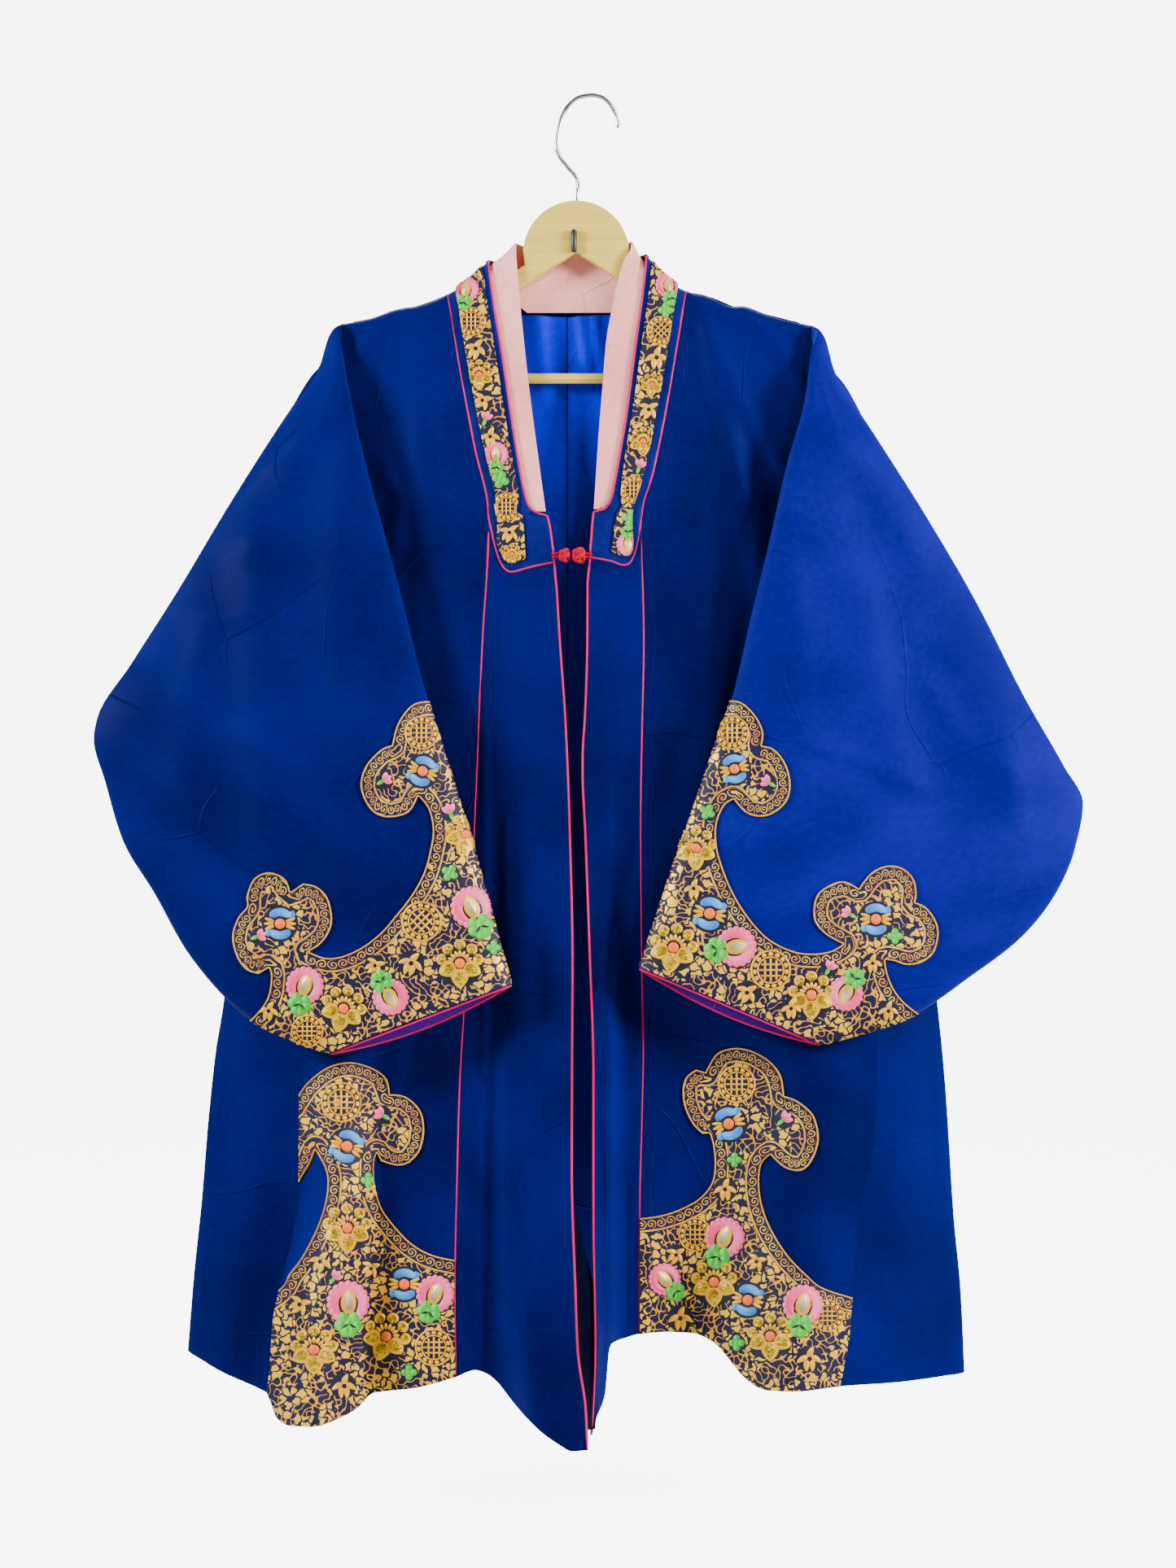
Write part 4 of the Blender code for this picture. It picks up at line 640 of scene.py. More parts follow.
def linked(name, data):
    item = bpy.data.objects.new(name, data)
    bpy.context.collection.objects.link(item)
    return item


def meshOf(name, verts, faces, edges=()):
    mesh = bpy.data.meshes.new(name)
    mesh.from_pydata(verts, edges, faces)
    return mesh


def smoothed(mesh, sharpAngle):
    mesh.shade_smooth()
    mesh.set_sharp_from_angle(angle=sharpAngle)


def facesOutwards(mesh):
    shape = bmesh.new()
    shape.from_mesh(mesh)
    bmesh.ops.recalc_face_normals(shape, faces=shape.faces)
    shape.to_mesh(mesh)
    shape.free()


def applied(item):      # what the modifier makes, as a plain mesh
    bpy.context.view_layer.update()
    mesh = bpy.data.meshes.new_from_object(item.evaluated_get(bpy.context.evaluated_depsgraph_get()))
    item.modifiers.clear()
    item.data = mesh
    return item


def prismFaces(count):      # two outlines of so many points, and the sides between them
    return [tuple(range(count)), tuple(range(count, 2 * count))] + [
        (k, (k + 1) % count, count + (k + 1) % count, count + k) for k in range(count)]


def lengths(vectors):
    return np.linalg.norm(vectors, axis=-1, keepdims=True)


def array(grid):
    return np.array([[tuple(p) for p in row] for row in grid])


def finer(points, pieces, closed=False):
    if closed:
        line = np.concatenate([points[-1:], points, points[:2]])
    else:
        line = np.concatenate([2 * points[:1] - points[1:2], points, 2 * points[-1:] - points[-2:-1]])
    gaps = lengths(np.diff(line, axis=0)) + 1e-9
    slope = np.diff(line, axis=0) / gaps
    a, b = slope[:-1], slope[1:]
    whole = np.where(np.abs(a + b) < 1e-9, 1, a + b)
    lean = np.where(a * b > 0, 2 * a * b / whole, 0)
    spans = len(points) if closed else len(points) - 1
    p, q, size = line[1:spans + 1], line[2:spans + 2], gaps[1:spans + 1]
    m, n = lean[:spans], lean[1:spans + 1]
    rows = []
    for k in range(pieces):
        a, b, c, d = cubic(k / pieces)
        rows.append(a * p + b * size * m + c * q + d * size * n)
    out = np.stack(rows, axis=1).reshape(spans * pieces, *points.shape[1:])
    return out if closed else np.concatenate([out, points[-1:]])


def fine(grid, down, along, closed=False):
    points = finer(array(grid), down)
    return finer(points.swapaxes(0, 1), along, closed).swapaxes(0, 1)


def gridNormals(points, closed=False):
    points = np.asarray(points) if isinstance(points, np.ndarray) else array(points)
    down = np.gradient(points, axis=0)
    if closed:
        along = np.roll(points, -1, axis=1) - np.roll(points, 1, axis=1)
    else:
        along = np.gradient(points, axis=1)
    normals = np.cross(down, along)
    return normals / (lengths(normals) + 1e-12)


def seen(points):       # the other way: x and z as they look from the front
    near = (eyeDistance + points[..., 1] / mm) / eyeDistance
    x = eyeX + (points[..., 0] / mm + hookX - eyeX) / near
    z = eyeZ + (points[..., 2] / mm - eyeZ) / near
    return x, z


def relief(creases, x, z):
    height = np.zeros_like(x)
    for *route, width, rise in creases:
        near = np.full_like(x, 1e9)
        for (ax, az), (bx, bz) in zip(route, route[1:]):
            run, fall = bx - ax, bz - az
            t = np.clip(((x - ax) * run + (z - az) * fall) / (run**2 + fall**2), 0, 1)
            near = np.minimum(near, np.hypot(x - ax - t * run, z - az - t * fall))
        height += rise * np.exp(-(near / width) ** 2)
    return height


def drift(x, z):
    return (0.45 * np.sin(x / 23 + z / 170 + 0.7) * np.sin(z / 95 + 1.3)
            + 0.35 * np.sin(x / 41 - z / 120 + 2.1) + 0.25 * np.sin(x / 13 + z / 61) * np.sin(z / 47))


def seamed(points):     # the top edge laps over the shoulder seam
    way = points[0] - points[1]
    points[0] += way / lengths(way) * 0.6 * mm
    return points


def ruffled(points, normals, creases, softly=1.0):
    x, z = seen(points)
    rise = relief(creases, x, z) + drift(x, z) * softly
    return points + normals * (rise * mm)[..., None]


def wallData(points, normals, thickness, closed=False):
    rows, cols = points.shape[:2]
    ends = np.concatenate([points, points[:, :1]], axis=1) if closed else points
    u = np.zeros(ends.shape[:2])
    u[:, 1:] = np.cumsum(np.linalg.norm(np.diff(ends, axis=1), axis=2), axis=1)
    u -= u.mean(axis=1, keepdims=True)
    v = np.zeros(ends.shape[:2])
    v[1:] = -np.cumsum(np.linalg.norm(np.diff(ends, axis=0), axis=2), axis=0)
    inner = points - normals * thickness * mm
    verts = np.concatenate([points.reshape(-1, 3), inner.reshape(-1, 3)])
    spans = cols if closed else cols - 1
    i, j = np.meshgrid(np.arange(rows - 1), np.arange(spans), indexing="ij")
    i, j = i.ravel(), j.ravel()
    a, b = i * cols + j, i * cols + (j + 1) % cols
    c, d = b + cols, a + cols
    half = rows * cols
    ua, ub, uc, ud = (np.stack([u[i + p, j + q], v[i + p, j + q]], 1)
                      for p, q in ((0, 0), (0, 1), (1, 1), (1, 0)))
    faces = [np.stack([a, d, c, b], 1), np.stack([a, b, c, d], 1) + half]
    uvs = [np.stack([ua, ud, uc, ub], 1), np.stack([ua, ub, uc, ud], 1)]

    def rim(p, q, up, uq):
        faces.append(np.stack([p, q, q + half, p + half], 1))
        uvs.append(np.stack([up, uq, uq, up], 1))

    first, last = i == 0, i == rows - 2
    rim(a[first], b[first], ua[first], ub[first])
    rim(c[last], d[last], uc[last], ud[last])
    if not closed:
        first, last = j == 0, j == spans - 1
        rim(d[first], a[first], ud[first], ua[first])
        rim(b[last], c[last], ub[last], uc[last])
    return verts, np.concatenate(faces), np.concatenate(uvs)


def join(name, parts, material):
    verts, faces, uvs, slots = [], [], [], []
    count = 0
    for k, (v, f, w) in enumerate(parts):
        verts.append(v)
        faces.append(f + count)
        uvs.append(w)
        slots += [material[1][k] if isinstance(material, tuple) else 0] * len(f)
        count += len(v)
    mesh = meshOf(name, np.concatenate(verts), np.concatenate(faces).tolist())
    layer = mesh.uv_layers.new(name="cloth")
    layer.data.foreach_set("uv", np.concatenate(uvs).reshape(-1, 2).astype(np.float32).ravel())
    for paint in (material[0] if isinstance(material, tuple) else [material]):
        mesh.materials.append(paint)
    mesh.polygons.foreach_set("material_index", slots)
    smoothed(mesh, 0.9)
    mesh.validate()
    return linked(name, mesh)


def wall(name, points, normals, thickness, material, closed=False):
    return join(name, [wallData(points, normals, thickness, closed)], material)


def tubeData(path, radius, sides, closed=False, ends=1.0):
    path = array([path])[0]
    count = len(path)
    if closed:
        way = np.roll(path, -1, axis=0) - np.roll(path, 1, axis=0)
        side = path - path.mean(axis=0)
    else:
        way = np.gradient(path, axis=0)
        side = np.cross(way, np.tile((0.0, -1.0, 0.001), (count, 1)))
    way /= lengths(way)
    side -= way * (side * way).sum(1, keepdims=True)
    side /= lengths(side)
    up = np.cross(way, side)
    size = np.full(count, radius * mm)
    if not closed and ends < 1:
        size[0] *= ends
        size[-1] *= ends
    turn = np.arange(sides) * 2 * pi / sides
    rings = path[:, None] + size[:, None, None] * (side[:, None] * np.cos(turn)[None, :, None]
                                                   + up[:, None] * np.sin(turn)[None, :, None])
    long = np.concatenate([[0], np.cumsum(np.linalg.norm(np.diff(path, axis=0), axis=1))])
    if closed:
        long = np.append(long, long[-1] + np.linalg.norm(path[0] - path[-1]))
    spans = count if closed else count - 1
    faces, uvs = [], []
    for i in range(spans):
        for k in range(sides):
            a, b = i * sides + k, i * sides + (k + 1) % sides
            c, d = (b + sides) % (count * sides), (a + sides) % (count * sides)
            faces.append((a, b, c, d))
            g = 2 * pi * radius * mm / sides
            uvs.append(((k * g, long[i]), ((k + 1) * g, long[i]), ((k + 1) * g, long[i + 1]),
                        (k * g, long[i + 1])))
    verts = rings.reshape(-1, 3)
    if not closed:
        verts = np.concatenate([verts, path[:1], path[-1:]])
        tip, tail = count * sides, count * sides + 1
        for k in range(sides):
            low, last = k, (count - 1) * sides + k
            nxt = (k + 1) % sides
            faces.append((tip, nxt, low, tip))
            faces.append((tail, last, (count - 1) * sides + nxt, tail))
            uvs += [((0, 0),) * 4] * 2
    return verts, faces, uvs


def tube(name, path, radius, sides, material, closed=False, ends=1.0):
    return joinTubes(name, [tubeData(path, radius, sides, closed, ends)], material)


def joinTubes(name, tubes, material):
    verts, faces, corners = [], [], []
    for v, f, w in tubes:
        start = sum(len(x) for x in verts)
        verts.append(v)
        for face, uv in zip(f, w):
            face = [k + start for k in face]
            if face[0] == face[3]:
                face, uv = face[:3], uv[:3]
            faces.append(face)
            corners += list(uv)
    mesh = meshOf(name, np.concatenate(verts), faces)
    layer = mesh.uv_layers.new(name="cloth")
    layer.data.foreach_set("uv", np.array(corners, dtype=np.float32).ravel())
    mesh.materials.append(material)
    facesOutwards(mesh)
    smoothed(mesh, 1.0)
    return linked(name, mesh)


# Materials

def feed(tree, sockets, values):        # each value is a constant or another node's socket
    for key, value in values.items():
        if isinstance(value, bpy.types.NodeSocket):
            tree.links.new(value, sockets[key])
        else:
            sockets[key].default_value = value


def node(tree, kind, inputs=None, **settings):
    item = tree.nodes.new(kind)
    for key, value in settings.items():
        setattr(item, key, value)
    feed(tree, item.inputs, inputs or {})
    return item


def calc(tree, operation, *values, kind="ShaderNodeMath"):
    return node(tree, kind, dict(enumerate(values)), operation=operation).outputs[0]


def vectorCalc(tree, operation, *values):
    return calc(tree, operation, *values, kind="ShaderNodeVectorMath")


def parted(tree, value):        # x, y and z of a vector
    return node(tree, "ShaderNodeSeparateXYZ", {0: value}).outputs


def mapped(tree, layer="cloth"):
    return node(tree, "ShaderNodeUVMap", uv_map=layer).outputs[0]


def within(tree):       # where a spot is on the object
    return node(tree, "ShaderNodeTexCoord").outputs["Object"]


def blend(tree, share, a, b):
    a, b = (tone if isinstance(tone, bpy.types.NodeSocket) else (*tone, 1) for tone in (a, b))
    return node(tree, "ShaderNodeMix", {0: share, 6: a, 7: b}, data_type="RGBA").outputs[2]


def plus(tree, a, b):
    return calc(tree, "ADD", a, b)


def minus(tree, a, b):
    return calc(tree, "SUBTRACT", a, b)


def times(tree, a, b):
    return calc(tree, "MULTIPLY", a, b)


def noise(tree, spot, scale, detail, dimensions="3D", **more):
    return node(tree, "ShaderNodeTexNoise", {"Vector": spot, "Scale": scale, "Detail": detail, **more},
                noise_dimensions=dimensions).outputs


def step(tree, value, low, high):
    return node(tree, "ShaderNodeMapRange", {0: value, 1: low, 2: high},
                interpolation_type="SMOOTHSTEP").outputs[0]


def group(name, inputs, outputs, kind="ShaderNodeTree"):
    tree = bpy.data.node_groups.new(name, kind)
    for label, kind in inputs:
        tree.interface.new_socket(label, in_out="INPUT", socket_type=kind)
    for label, kind in outputs:
        tree.interface.new_socket(label, in_out="OUTPUT", socket_type=kind)
    return tree, tree.nodes.new("NodeGroupInput").outputs, tree.nodes.new("NodeGroupOutput").inputs


number, vector = "NodeSocketFloat", "NodeSocketVector"


def weaveGroup():       # fine threads, slubs and a slow drift of tone
    tree, take, give = group("Weave", [("Vector", vector), ("Thread", number)],
                             [("Height", number), ("Tone", number), ("Crumple", number)])
    parts = parted(tree, take["Vector"])
    soft = noise(tree, take["Vector"], 10.0, 1.5, Roughness=0.4)
    bent = vectorCalc(tree, "MULTIPLY_ADD", soft["Color"], (0.035, 0.035, 0.0), take["Vector"])
    cells = node(tree, "ShaderNodeTexVoronoi", {"Vector": bent, "Scale": 8.0}, voronoi_dimensions="2D",
                 feature="DISTANCE_TO_EDGE").outputs["Distance"]
    sparse = noise(tree, take["Vector"], 9.0, 0.0)[0]
    crease = times(tree, step(tree, cells, 0.012, 0.0), step(tree, sparse, 0.5, 0.62))
    crumple = plus(tree, soft[0], times(tree, crease, 0.14))
    turns = calc(tree, "DIVIDE", 2 * pi, take["Thread"])
    warp = calc(tree, "SINE", times(tree, parts[0], turns))
    twill = times(tree, plus(tree, parts[1], times(tree, parts[0], 0.3)), turns)
    weft = calc(tree, "SINE", times(tree, twill, 0.37))
    slub = noise(tree, take["Vector"], 160.0, 3.0)[0]
    slow = noise(tree, take["Vector"], 7.0, 2.0)[0]
    height = plus(tree, times(tree, plus(tree, warp, weft), 0.25), slub)
    tone = plus(tree, times(tree, slow, 0.75), times(tree, slub, 0.25))
    feed(tree, give, {"Height": height, "Tone": tone, "Crumple": crumple})
    return tree


def vermicelliGroup():  # winding gold lines and bean shapes; vector in millimetres
    tree, take, give = group("Vermicelli", [("Vector", vector), ("Pitch", number), ("Bean", number)],
                             [("Mask", number), ("Tone", number)])
    cycles = calc(tree, "DIVIDE", 12.0, take["Pitch"])
    flow = node(tree, "ShaderNodeTexGabor", {"Vector": take["Vector"], "Scale": 1 / 12.0,
                                             "Frequency": cycles, "Anisotropy": 0.0}).outputs["Value"]
    winding = step(tree, calc(tree, "ABSOLUTE", minus(tree, flow, 0.5)), 0.045, 0.030)
    warp = noise(tree, take["Vector"], 0.2, 0.0, "2D")[1]
    bent = vectorCalc(tree, "MULTIPLY", warp, (5.5, 5.5, 5.5))
    spot = vectorCalc(tree, "ADD", take["Vector"], bent)
    cells, middles = (node(tree, "ShaderNodeTexVoronoi", {
        "Vector": spot, "Scale": calc(tree, "DIVIDE", 1.0, take["Bean"]), "Randomness": 0.85},
        voronoi_dimensions="2D", feature=feature).outputs[0] for feature in ("DISTANCE_TO_EDGE", "F1"))
    bean = times(tree, step(tree, cells, 0.10, 0.14), step(tree, middles, 0.58, 0.52))
    where = noise(tree, take["Vector"], 0.045, 1.0, "2D")[0]
    pick = step(tree, where, 0.50, 0.515)
    mask = plus(tree, times(tree, bean, pick), times(tree, winding, minus(tree, 1.0, pick)))
    feed(tree, give, {"Mask": mask, "Tone": where})
    return tree


def scrollGroup():      # couched border: run along the outline and distance from it, in millimetres
    tree, take, give = group("Scroll border", [("Run", number), ("Rim", number)],
                             [("Mask", number), ("Inside", number)])
    cell = calc(tree, "DIVIDE", take["Run"], 8.2)
    whole = calc(tree, "FLOOR", cell)
    odd = minus(tree, times(tree, calc(tree, "FRACT", times(tree, whole, 0.5)), 4.0), 1.0)
    x = times(tree, minus(tree, calc(tree, "FRACT", cell), 0.5), 8.2)
    y = times(tree, minus(tree, take["Rim"], 6.3), odd)
    far = calc(tree, "SQRT", plus(tree, times(tree, x, x), times(tree, y, y)))
    angle = calc(tree, "DIVIDE", calc(tree, "ARCTAN2", y, x), 2 * pi)
    spiral = calc(tree, "FRACT", plus(tree, calc(tree, "DIVIDE", far, 2.6), angle))
    curl = times(tree, step(tree, calc(tree, "ABSOLUTE", minus(tree, spiral, 0.5)), 0.20, 0.14),
                step(tree, far, 4.4, 4.0))
    between = times(tree, step(tree, take["Rim"], 1.8, 2.2), step(tree, take["Rim"], 10.9, 10.5))
    lines = [times(tree, step(tree, take["Rim"], low - 0.15, low + 0.15),
                   step(tree, take["Rim"], high + 0.15, high - 0.15))
             for low, high in ((-2, 1.3), (11.2, 12.6))]
    mask = plus(tree, times(tree, curl, between), plus(tree, *lines))
    feed(tree, give, {"Mask": calc(tree, "MINIMUM", mask, 1.0),
                      "Inside": step(tree, take["Rim"], 13.0, 13.4)})
    return tree


def grainGroup():       # long wood grain
    tree, take, give = group("Wood grain", [("Vector", vector)], [("Grain", number), ("Height", number)])
    long = node(tree, "ShaderNodeMapping", {"Vector": take["Vector"], "Scale": (5.0, 60.0, 95.0)}).outputs[0]
    rings = noise(tree, long, 1.0, 5.0, Distortion=0.6)[0]
    pores = noise(tree, long, 7.0, 2.0)[0]
    grain = plus(tree, times(tree, rings, 0.7), times(tree, pores, 0.3))
    feed(tree, give, {"Grain": grain, "Height": pores})
    return tree


groups = {"weave": weaveGroup(), "vermicelli": vermicelliGroup(), "scroll": scrollGroup(),
          "grain": grainGroup()}


def use(tree, name, inputs):
    return node(tree, "ShaderNodeGroup", inputs, node_tree=groups[name]).outputs


def startPaint(name, constants):
    paint = bpy.data.materials.new(name)
    paint.use_nodes = True
    tree = paint.node_tree
    shader = tree.nodes["Principled BSDF"]
    feed(tree, shader.inputs, constants)
    return paint, tree, shader


def bump(tree, shader, height, strength, distance=0.0004):
    item = node(tree, "ShaderNodeBump", {"Height": height, "Strength": strength, "Distance": distance})
    feed(tree, shader.inputs, {"Normal": item.outputs[0]})
    return item


# Dark and light tone and edge tone (blended in towards grazing angles: a painted sheen, and on the crimson
# piping a painted shade); roughness, sheen, thread in metres, bump
silks = {
    "satin": ((0.0003, 0.0005, 0.040), (0.0012, 0.0022, 0.088), (0.004, 0.012, 0.2),
              0.58, 0.02, 0.0007, 0.10),
    # the same satin made lighter and more violet for the right sleeve: painted light standing in for the
    # right lamp's light
    "satinPaintedLighter": ((0.0014, 0.0016, 0.092), (0.005, 0.0048, 0.18), (0.012, 0.014, 0.3),
                   0.58, 0.02, 0.0007, 0.10),
    "band": ((0.003, 0.0038, 0.075), (0.009, 0.0098, 0.145), (0.014, 0.022, 0.22),
             0.45, 0.02, 0.0007, 0.12),
    # near-black satin: painted shade, for the facing in the gap between the fronts and for the lining's
    # centre seam
    "shade": ((0.0001, 0.0001, 0.004), (0.0002, 0.0003, 0.009), (0.001, 0.002, 0.02),
              0.6, 0.0, 0.0007, 0.10),
    "lining": ((0.0, 0.0, 0.42), (0.0, 0.0006, 0.76), (0.0, 0.006, 0.8), 0.38, 0.02, 0.0006, 0.08),
    "facing": ((0.03, 0.0, 0.12), (0.06, 0.001, 0.2), (0.16, 0.03, 0.4), 0.4, 0.02, 0.0006, 0.1),
    "pinkSilk": ((0.78, 0.23, 0.23), (0.97, 0.42, 0.38), (0.95, 0.55, 0.5), 0.5, 0.06, 0.0009, 0.16),
    "crimson": ((0.44, 0.003, 0.06), (0.62, 0.012, 0.13), (0.12, 0.0, 0.012), 0.36, 0.03, 0.0008, 0.3),
    "knotSilk": ((0.30, 0.0, 0.008), (0.5, 0.0005, 0.03), (0.6, 0.01, 0.06), 0.5, 0.03, 0.0008, 0.35),
}


def silk(name):
    dark, light, edge, rough, sheen, thread, depth = silks[name]
    crumple = {"pinkSilk": 0.0035, "crimson": 0.0, "knotSilk": 0.0}.get(name, 0.006)
    paint, tree, shader = startPaint(name, {
        "Roughness": rough, "Sheen Weight": sheen, "Sheen Roughness": 0.4, "Specular IOR Level": 0.24,
        "Specular Tint": (*edge, 1), "Anisotropic": 0.35})
    weave = use(tree, "weave", {"Vector": mapped(tree), "Thread": thread})
    tone = step(tree, weave["Tone"], 0.3, 0.7)
    # towards grazing angles the colour turns to the edge tone: painted sheen, and painted shade on the
    # darker-edged crimson
    facing = node(tree, "ShaderNodeLayerWeight", {"Blend": 0.35}).outputs["Facing"]
    turned = times(tree, facing, 1.0 if name == "crimson" else 0.5)
    colour = blend(tree, turned, blend(tree, tone, dark, light), edge)
    feed(tree, shader.inputs, {"Base Color": colour})
    creased = bump(tree, shader, weave["Crumple"], 1.0, crumple)
    woven = bump(tree, shader, weave["Height"], depth)
    feed(tree, woven.inputs, {"Normal": creased.outputs[0]})
    return paint


brocadeTones = {"ground": (0.002, 0.0012, 0.028), "pale": (0.82, 0.46, 0.006), "deep": (0.68, 0.27, 0.0),
                "pitch": 9.0, "bean": 7.8, "depth": 0.6}


def brocadePaint(name, bordered):
    paint, tree, shader = startPaint(name, {"Specular IOR Level": 0.25})
    spot = mapped(tree)
    inMm = vectorCalc(tree, "MULTIPLY", spot, (1 / mm, 1 / mm, 1 / mm))
    fill = use(tree, "vermicelli", {"Vector": inMm, "Pitch": brocadeTones["pitch"],
                                    "Bean": brocadeTones["bean"]})
    mask = fill["Mask"]
    if bordered:
        rim = parted(tree, mapped(tree, "rim"))
        border = use(tree, "scroll", {"Run": times(tree, rim[0], 1 / mm),
                                      "Rim": times(tree, rim[1], 1 / mm)})
        mask = calc(tree, "MAXIMUM", border["Mask"], times(tree, mask, border["Inside"]))
    gold = blend(tree, step(tree, fill["Tone"], 0.35, 0.65), brocadeTones["deep"], brocadeTones["pale"])
    weave = use(tree, "weave", {"Vector": spot, "Thread": 0.0009})
    feed(tree, shader.inputs, {"Base Color": blend(tree, mask, brocadeTones["ground"], gold),
                               "Metallic": times(tree, mask, 0.25),
                               "Roughness": minus(tree, 0.6, times(tree, mask, 0.18))})
    bump(tree, shader, plus(tree, mask, times(tree, weave["Height"], 0.25)), brocadeTones["depth"], 0.0006)
    return paint


threads = {     # root and tip of a petal, edge, metallic, roughness
    "rose": ((0.84, 0.035, 0.15), (0.93, 0.16, 0.33), (0.88, 0.1, 0.26), 0.0, 0.5),
    "silver": ((0.34, 0.33, 0.18), (0.8, 0.76, 0.48), (0.9, 0.5, 0.08), 0.5, 0.35),
    "leaf": ((0.015, 0.34, 0.012), (0.10, 0.6, 0.05), (0.03, 0.42, 0.02), 0.0, 0.5),
    "sky": ((0.02, 0.15, 0.52), (0.08, 0.34, 0.72), (0.03, 0.2, 0.58), 0.0, 0.5),
    "flame": ((0.86, 0.12, 0.0), (0.92, 0.17, 0.0), (0.82, 0.09, 0.0), 0.0, 0.5),
    "gold": ((0.72, 0.32, 0.0), (0.86, 0.48, 0.008), (0.72, 0.32, 0.0), 0.2, 0.42),
    "glitter": ((0.5, 0.29, 0.0), (0.98, 0.68, 0.0), (0.4, 0.2, 0.0), 0.5, 0.34),
    "navy": ((0.0008, 0.0012, 0.014), (0.001, 0.002, 0.02), (0.0008, 0.0012, 0.014), 0.0, 0.6),
}


# Specks in a thread: how many to the metre, how strong, how much of the root's tone, and bump
specks = {"glitter": (750.0, 0.9, 0.15, 0.6)}
plainSpecks = (900.0, 0.2, 0.35, 0.3)


def threadPaint(name):
    root, tip, edge, metal, rough = threads[name]
    perMetre, strong, dark, depth = specks.get(name, plainSpecks)
    paint, tree, shader = startPaint("thread_" + name, {"Roughness": rough, "Metallic": metal,
                                                        "Specular IOR Level": 0.3})
    parts = parted(tree, mapped(tree))
    offMiddle = calc(tree, "ABSOLUTE", minus(tree, parts[0], 0.5))
    colour = blend(tree, step(tree, parts[1], 0.1, 0.9), root, tip)
    colour = blend(tree, step(tree, offMiddle, 0.36, 0.44), colour, edge)
    speck = node(tree, "ShaderNodeTexVoronoi", {"Vector": within(tree), "Scale": perMetre}).outputs
    shade = times(tree, parted(tree, speck["Color"])[0], strong)
    colour = blend(tree, shade, colour, tuple(c * dark for c in root))
    feed(tree, shader.inputs, {"Base Color": colour})
    strand = calc(tree, "SINE", times(tree, parts[0], 55.0))
    bump(tree, shader, plus(tree, times(tree, strand, 0.4), speck["Distance"]), depth, 0.0003)
    return paint


def woodPaint():
    paint, tree, shader = startPaint("wood", {"Roughness": 0.5, "Specular IOR Level": 0.4,
                                              "Coat Weight": 0.15, "Coat Roughness": 0.3})
    grain = use(tree, "grain", {"Vector": within(tree)})
    tone = step(tree, grain["Grain"], 0.25, 0.75)
    feed(tree, shader.inputs, {"Base Color": blend(tree, tone, (0.56, 0.38, 0.04), (0.70, 0.52, 0.085))})
    bump(tree, shader, grain["Height"], 0.12)
    return paint


def metalPaint(name, colour, rough, metal):
    paint, tree, shader = startPaint(name, {"Metallic": metal})
    wear = noise(tree, within(tree), 220.0, 4.0)[0]
    feed(tree, shader.inputs, {"Base Color": blend(tree, wear, tuple(c * 0.75 for c in colour), colour),
                               "Roughness": plus(tree, rough, times(tree, wear, 0.2))})
    bump(tree, shader, wear, 0.08)
    return paint


paints = {name: silk(name) for name in silks}
paints.update({name: threadPaint(name) for name in threads})
paints["brocade"] = brocadePaint("brocade", True)
paints["ribbon"] = brocadePaint("ribbon", False)
paints["wood"] = woodPaint()
paints["steel"] = metalPaint("steel", (0.75, 0.75, 0.77), 0.15, 1.0)
paints["enamel"] = metalPaint("enamel", (0.008, 0.008, 0.008), 0.35, 0.0)
print("materials made")


# The coat's walls, at the resolution of the view

detail = {"columns": 3, "levels": 3, "down": 2, "along": 2, "rings": 7, "around": 7}

creases = {     # routes of (x, z), then half width and height
    "left": [((-154, -185), (-189, -222), 9, 3.0), ((-168, -330), (-156, -352), (-160, -395), 8, 2.5),
        ((-128, -200), (-138, -330), (-136, -470), 14, 2.5),
        ((-82, -520), (-80, -900), (-84, -1120), 5, 1.6), ((-62, -640), (-60, -1100), 6, 1.4),
        ((-150, -760), (-160, -860), 9, 2.0)],
    "right": [((108, -184), (140, -260), (183, -328), 8, 3.2),
        ((114, -207), (128, -280), (152, -359), 7, 3.0), ((148, -187), (176, -214), (199, -255), 8, 3.2),
        ((132, -300), (136, -420), (128, -560), 12, 2.4), ((28, -600), (30, -1080), 4, 0.9),
        ((90, -420), (104, -640), 12, 2.0)],
}
liningCreases = [((3, -186), (9, -236), 5, -4.0), ((15, -186), (20, -226), 4, -3.2),
    ((-34, -190), (-27, -262), 9, -4.0), ((-50, -190), (-52, -262), 5, 1.2),
    ((-4, -250), (-2, -420), 6, -3.0)]
sleeveCreases = {
    "left": [((-283, -400), (-278, -520), (-272, -677), 24, 8.0), ((-348, -454), (-294, -461), 6, 2.2),
        ((-369, -706), (-330, -706), 7, 2.0), ((-240, -300), (-290, -400), 14, 3.0),
        ((-330, -470), (-350, -600), (-330, -700), 16, 3.0),
        ((-205, -330), (-215, -470), (-190, -590), 18, 4.0), ((-300, -560), (-240, -600), 8, 1.6)],
    "right": [((210, -573), (260, -588), (301, -611), 7, 2.6),
        ((297, -470), (330, -487), (369, -500), 7, 2.6), ((257, -443), (264, -523), (295, -600), 18, 4.5),
        ((215, -260), (255, -330), (300, -400), 14, 3.0),
        ((216, -266), (232, -280), (251, -291), 4, -1.6),
        ((380, -560), (392, -650), (330, -730), 14, 3.2),
        ((190, -420), (200, -540), (180, -640), 16, 3.4), ((310, -520), (340, -560), 6, 1.8)],
}


def split(values, pieces):
    out = []
    for a, b in zip(values, values[1:]):
        out += [mix(a, b, k / pieces) for k in range(pieces)]
    return tuple(out) + (values[-1],)


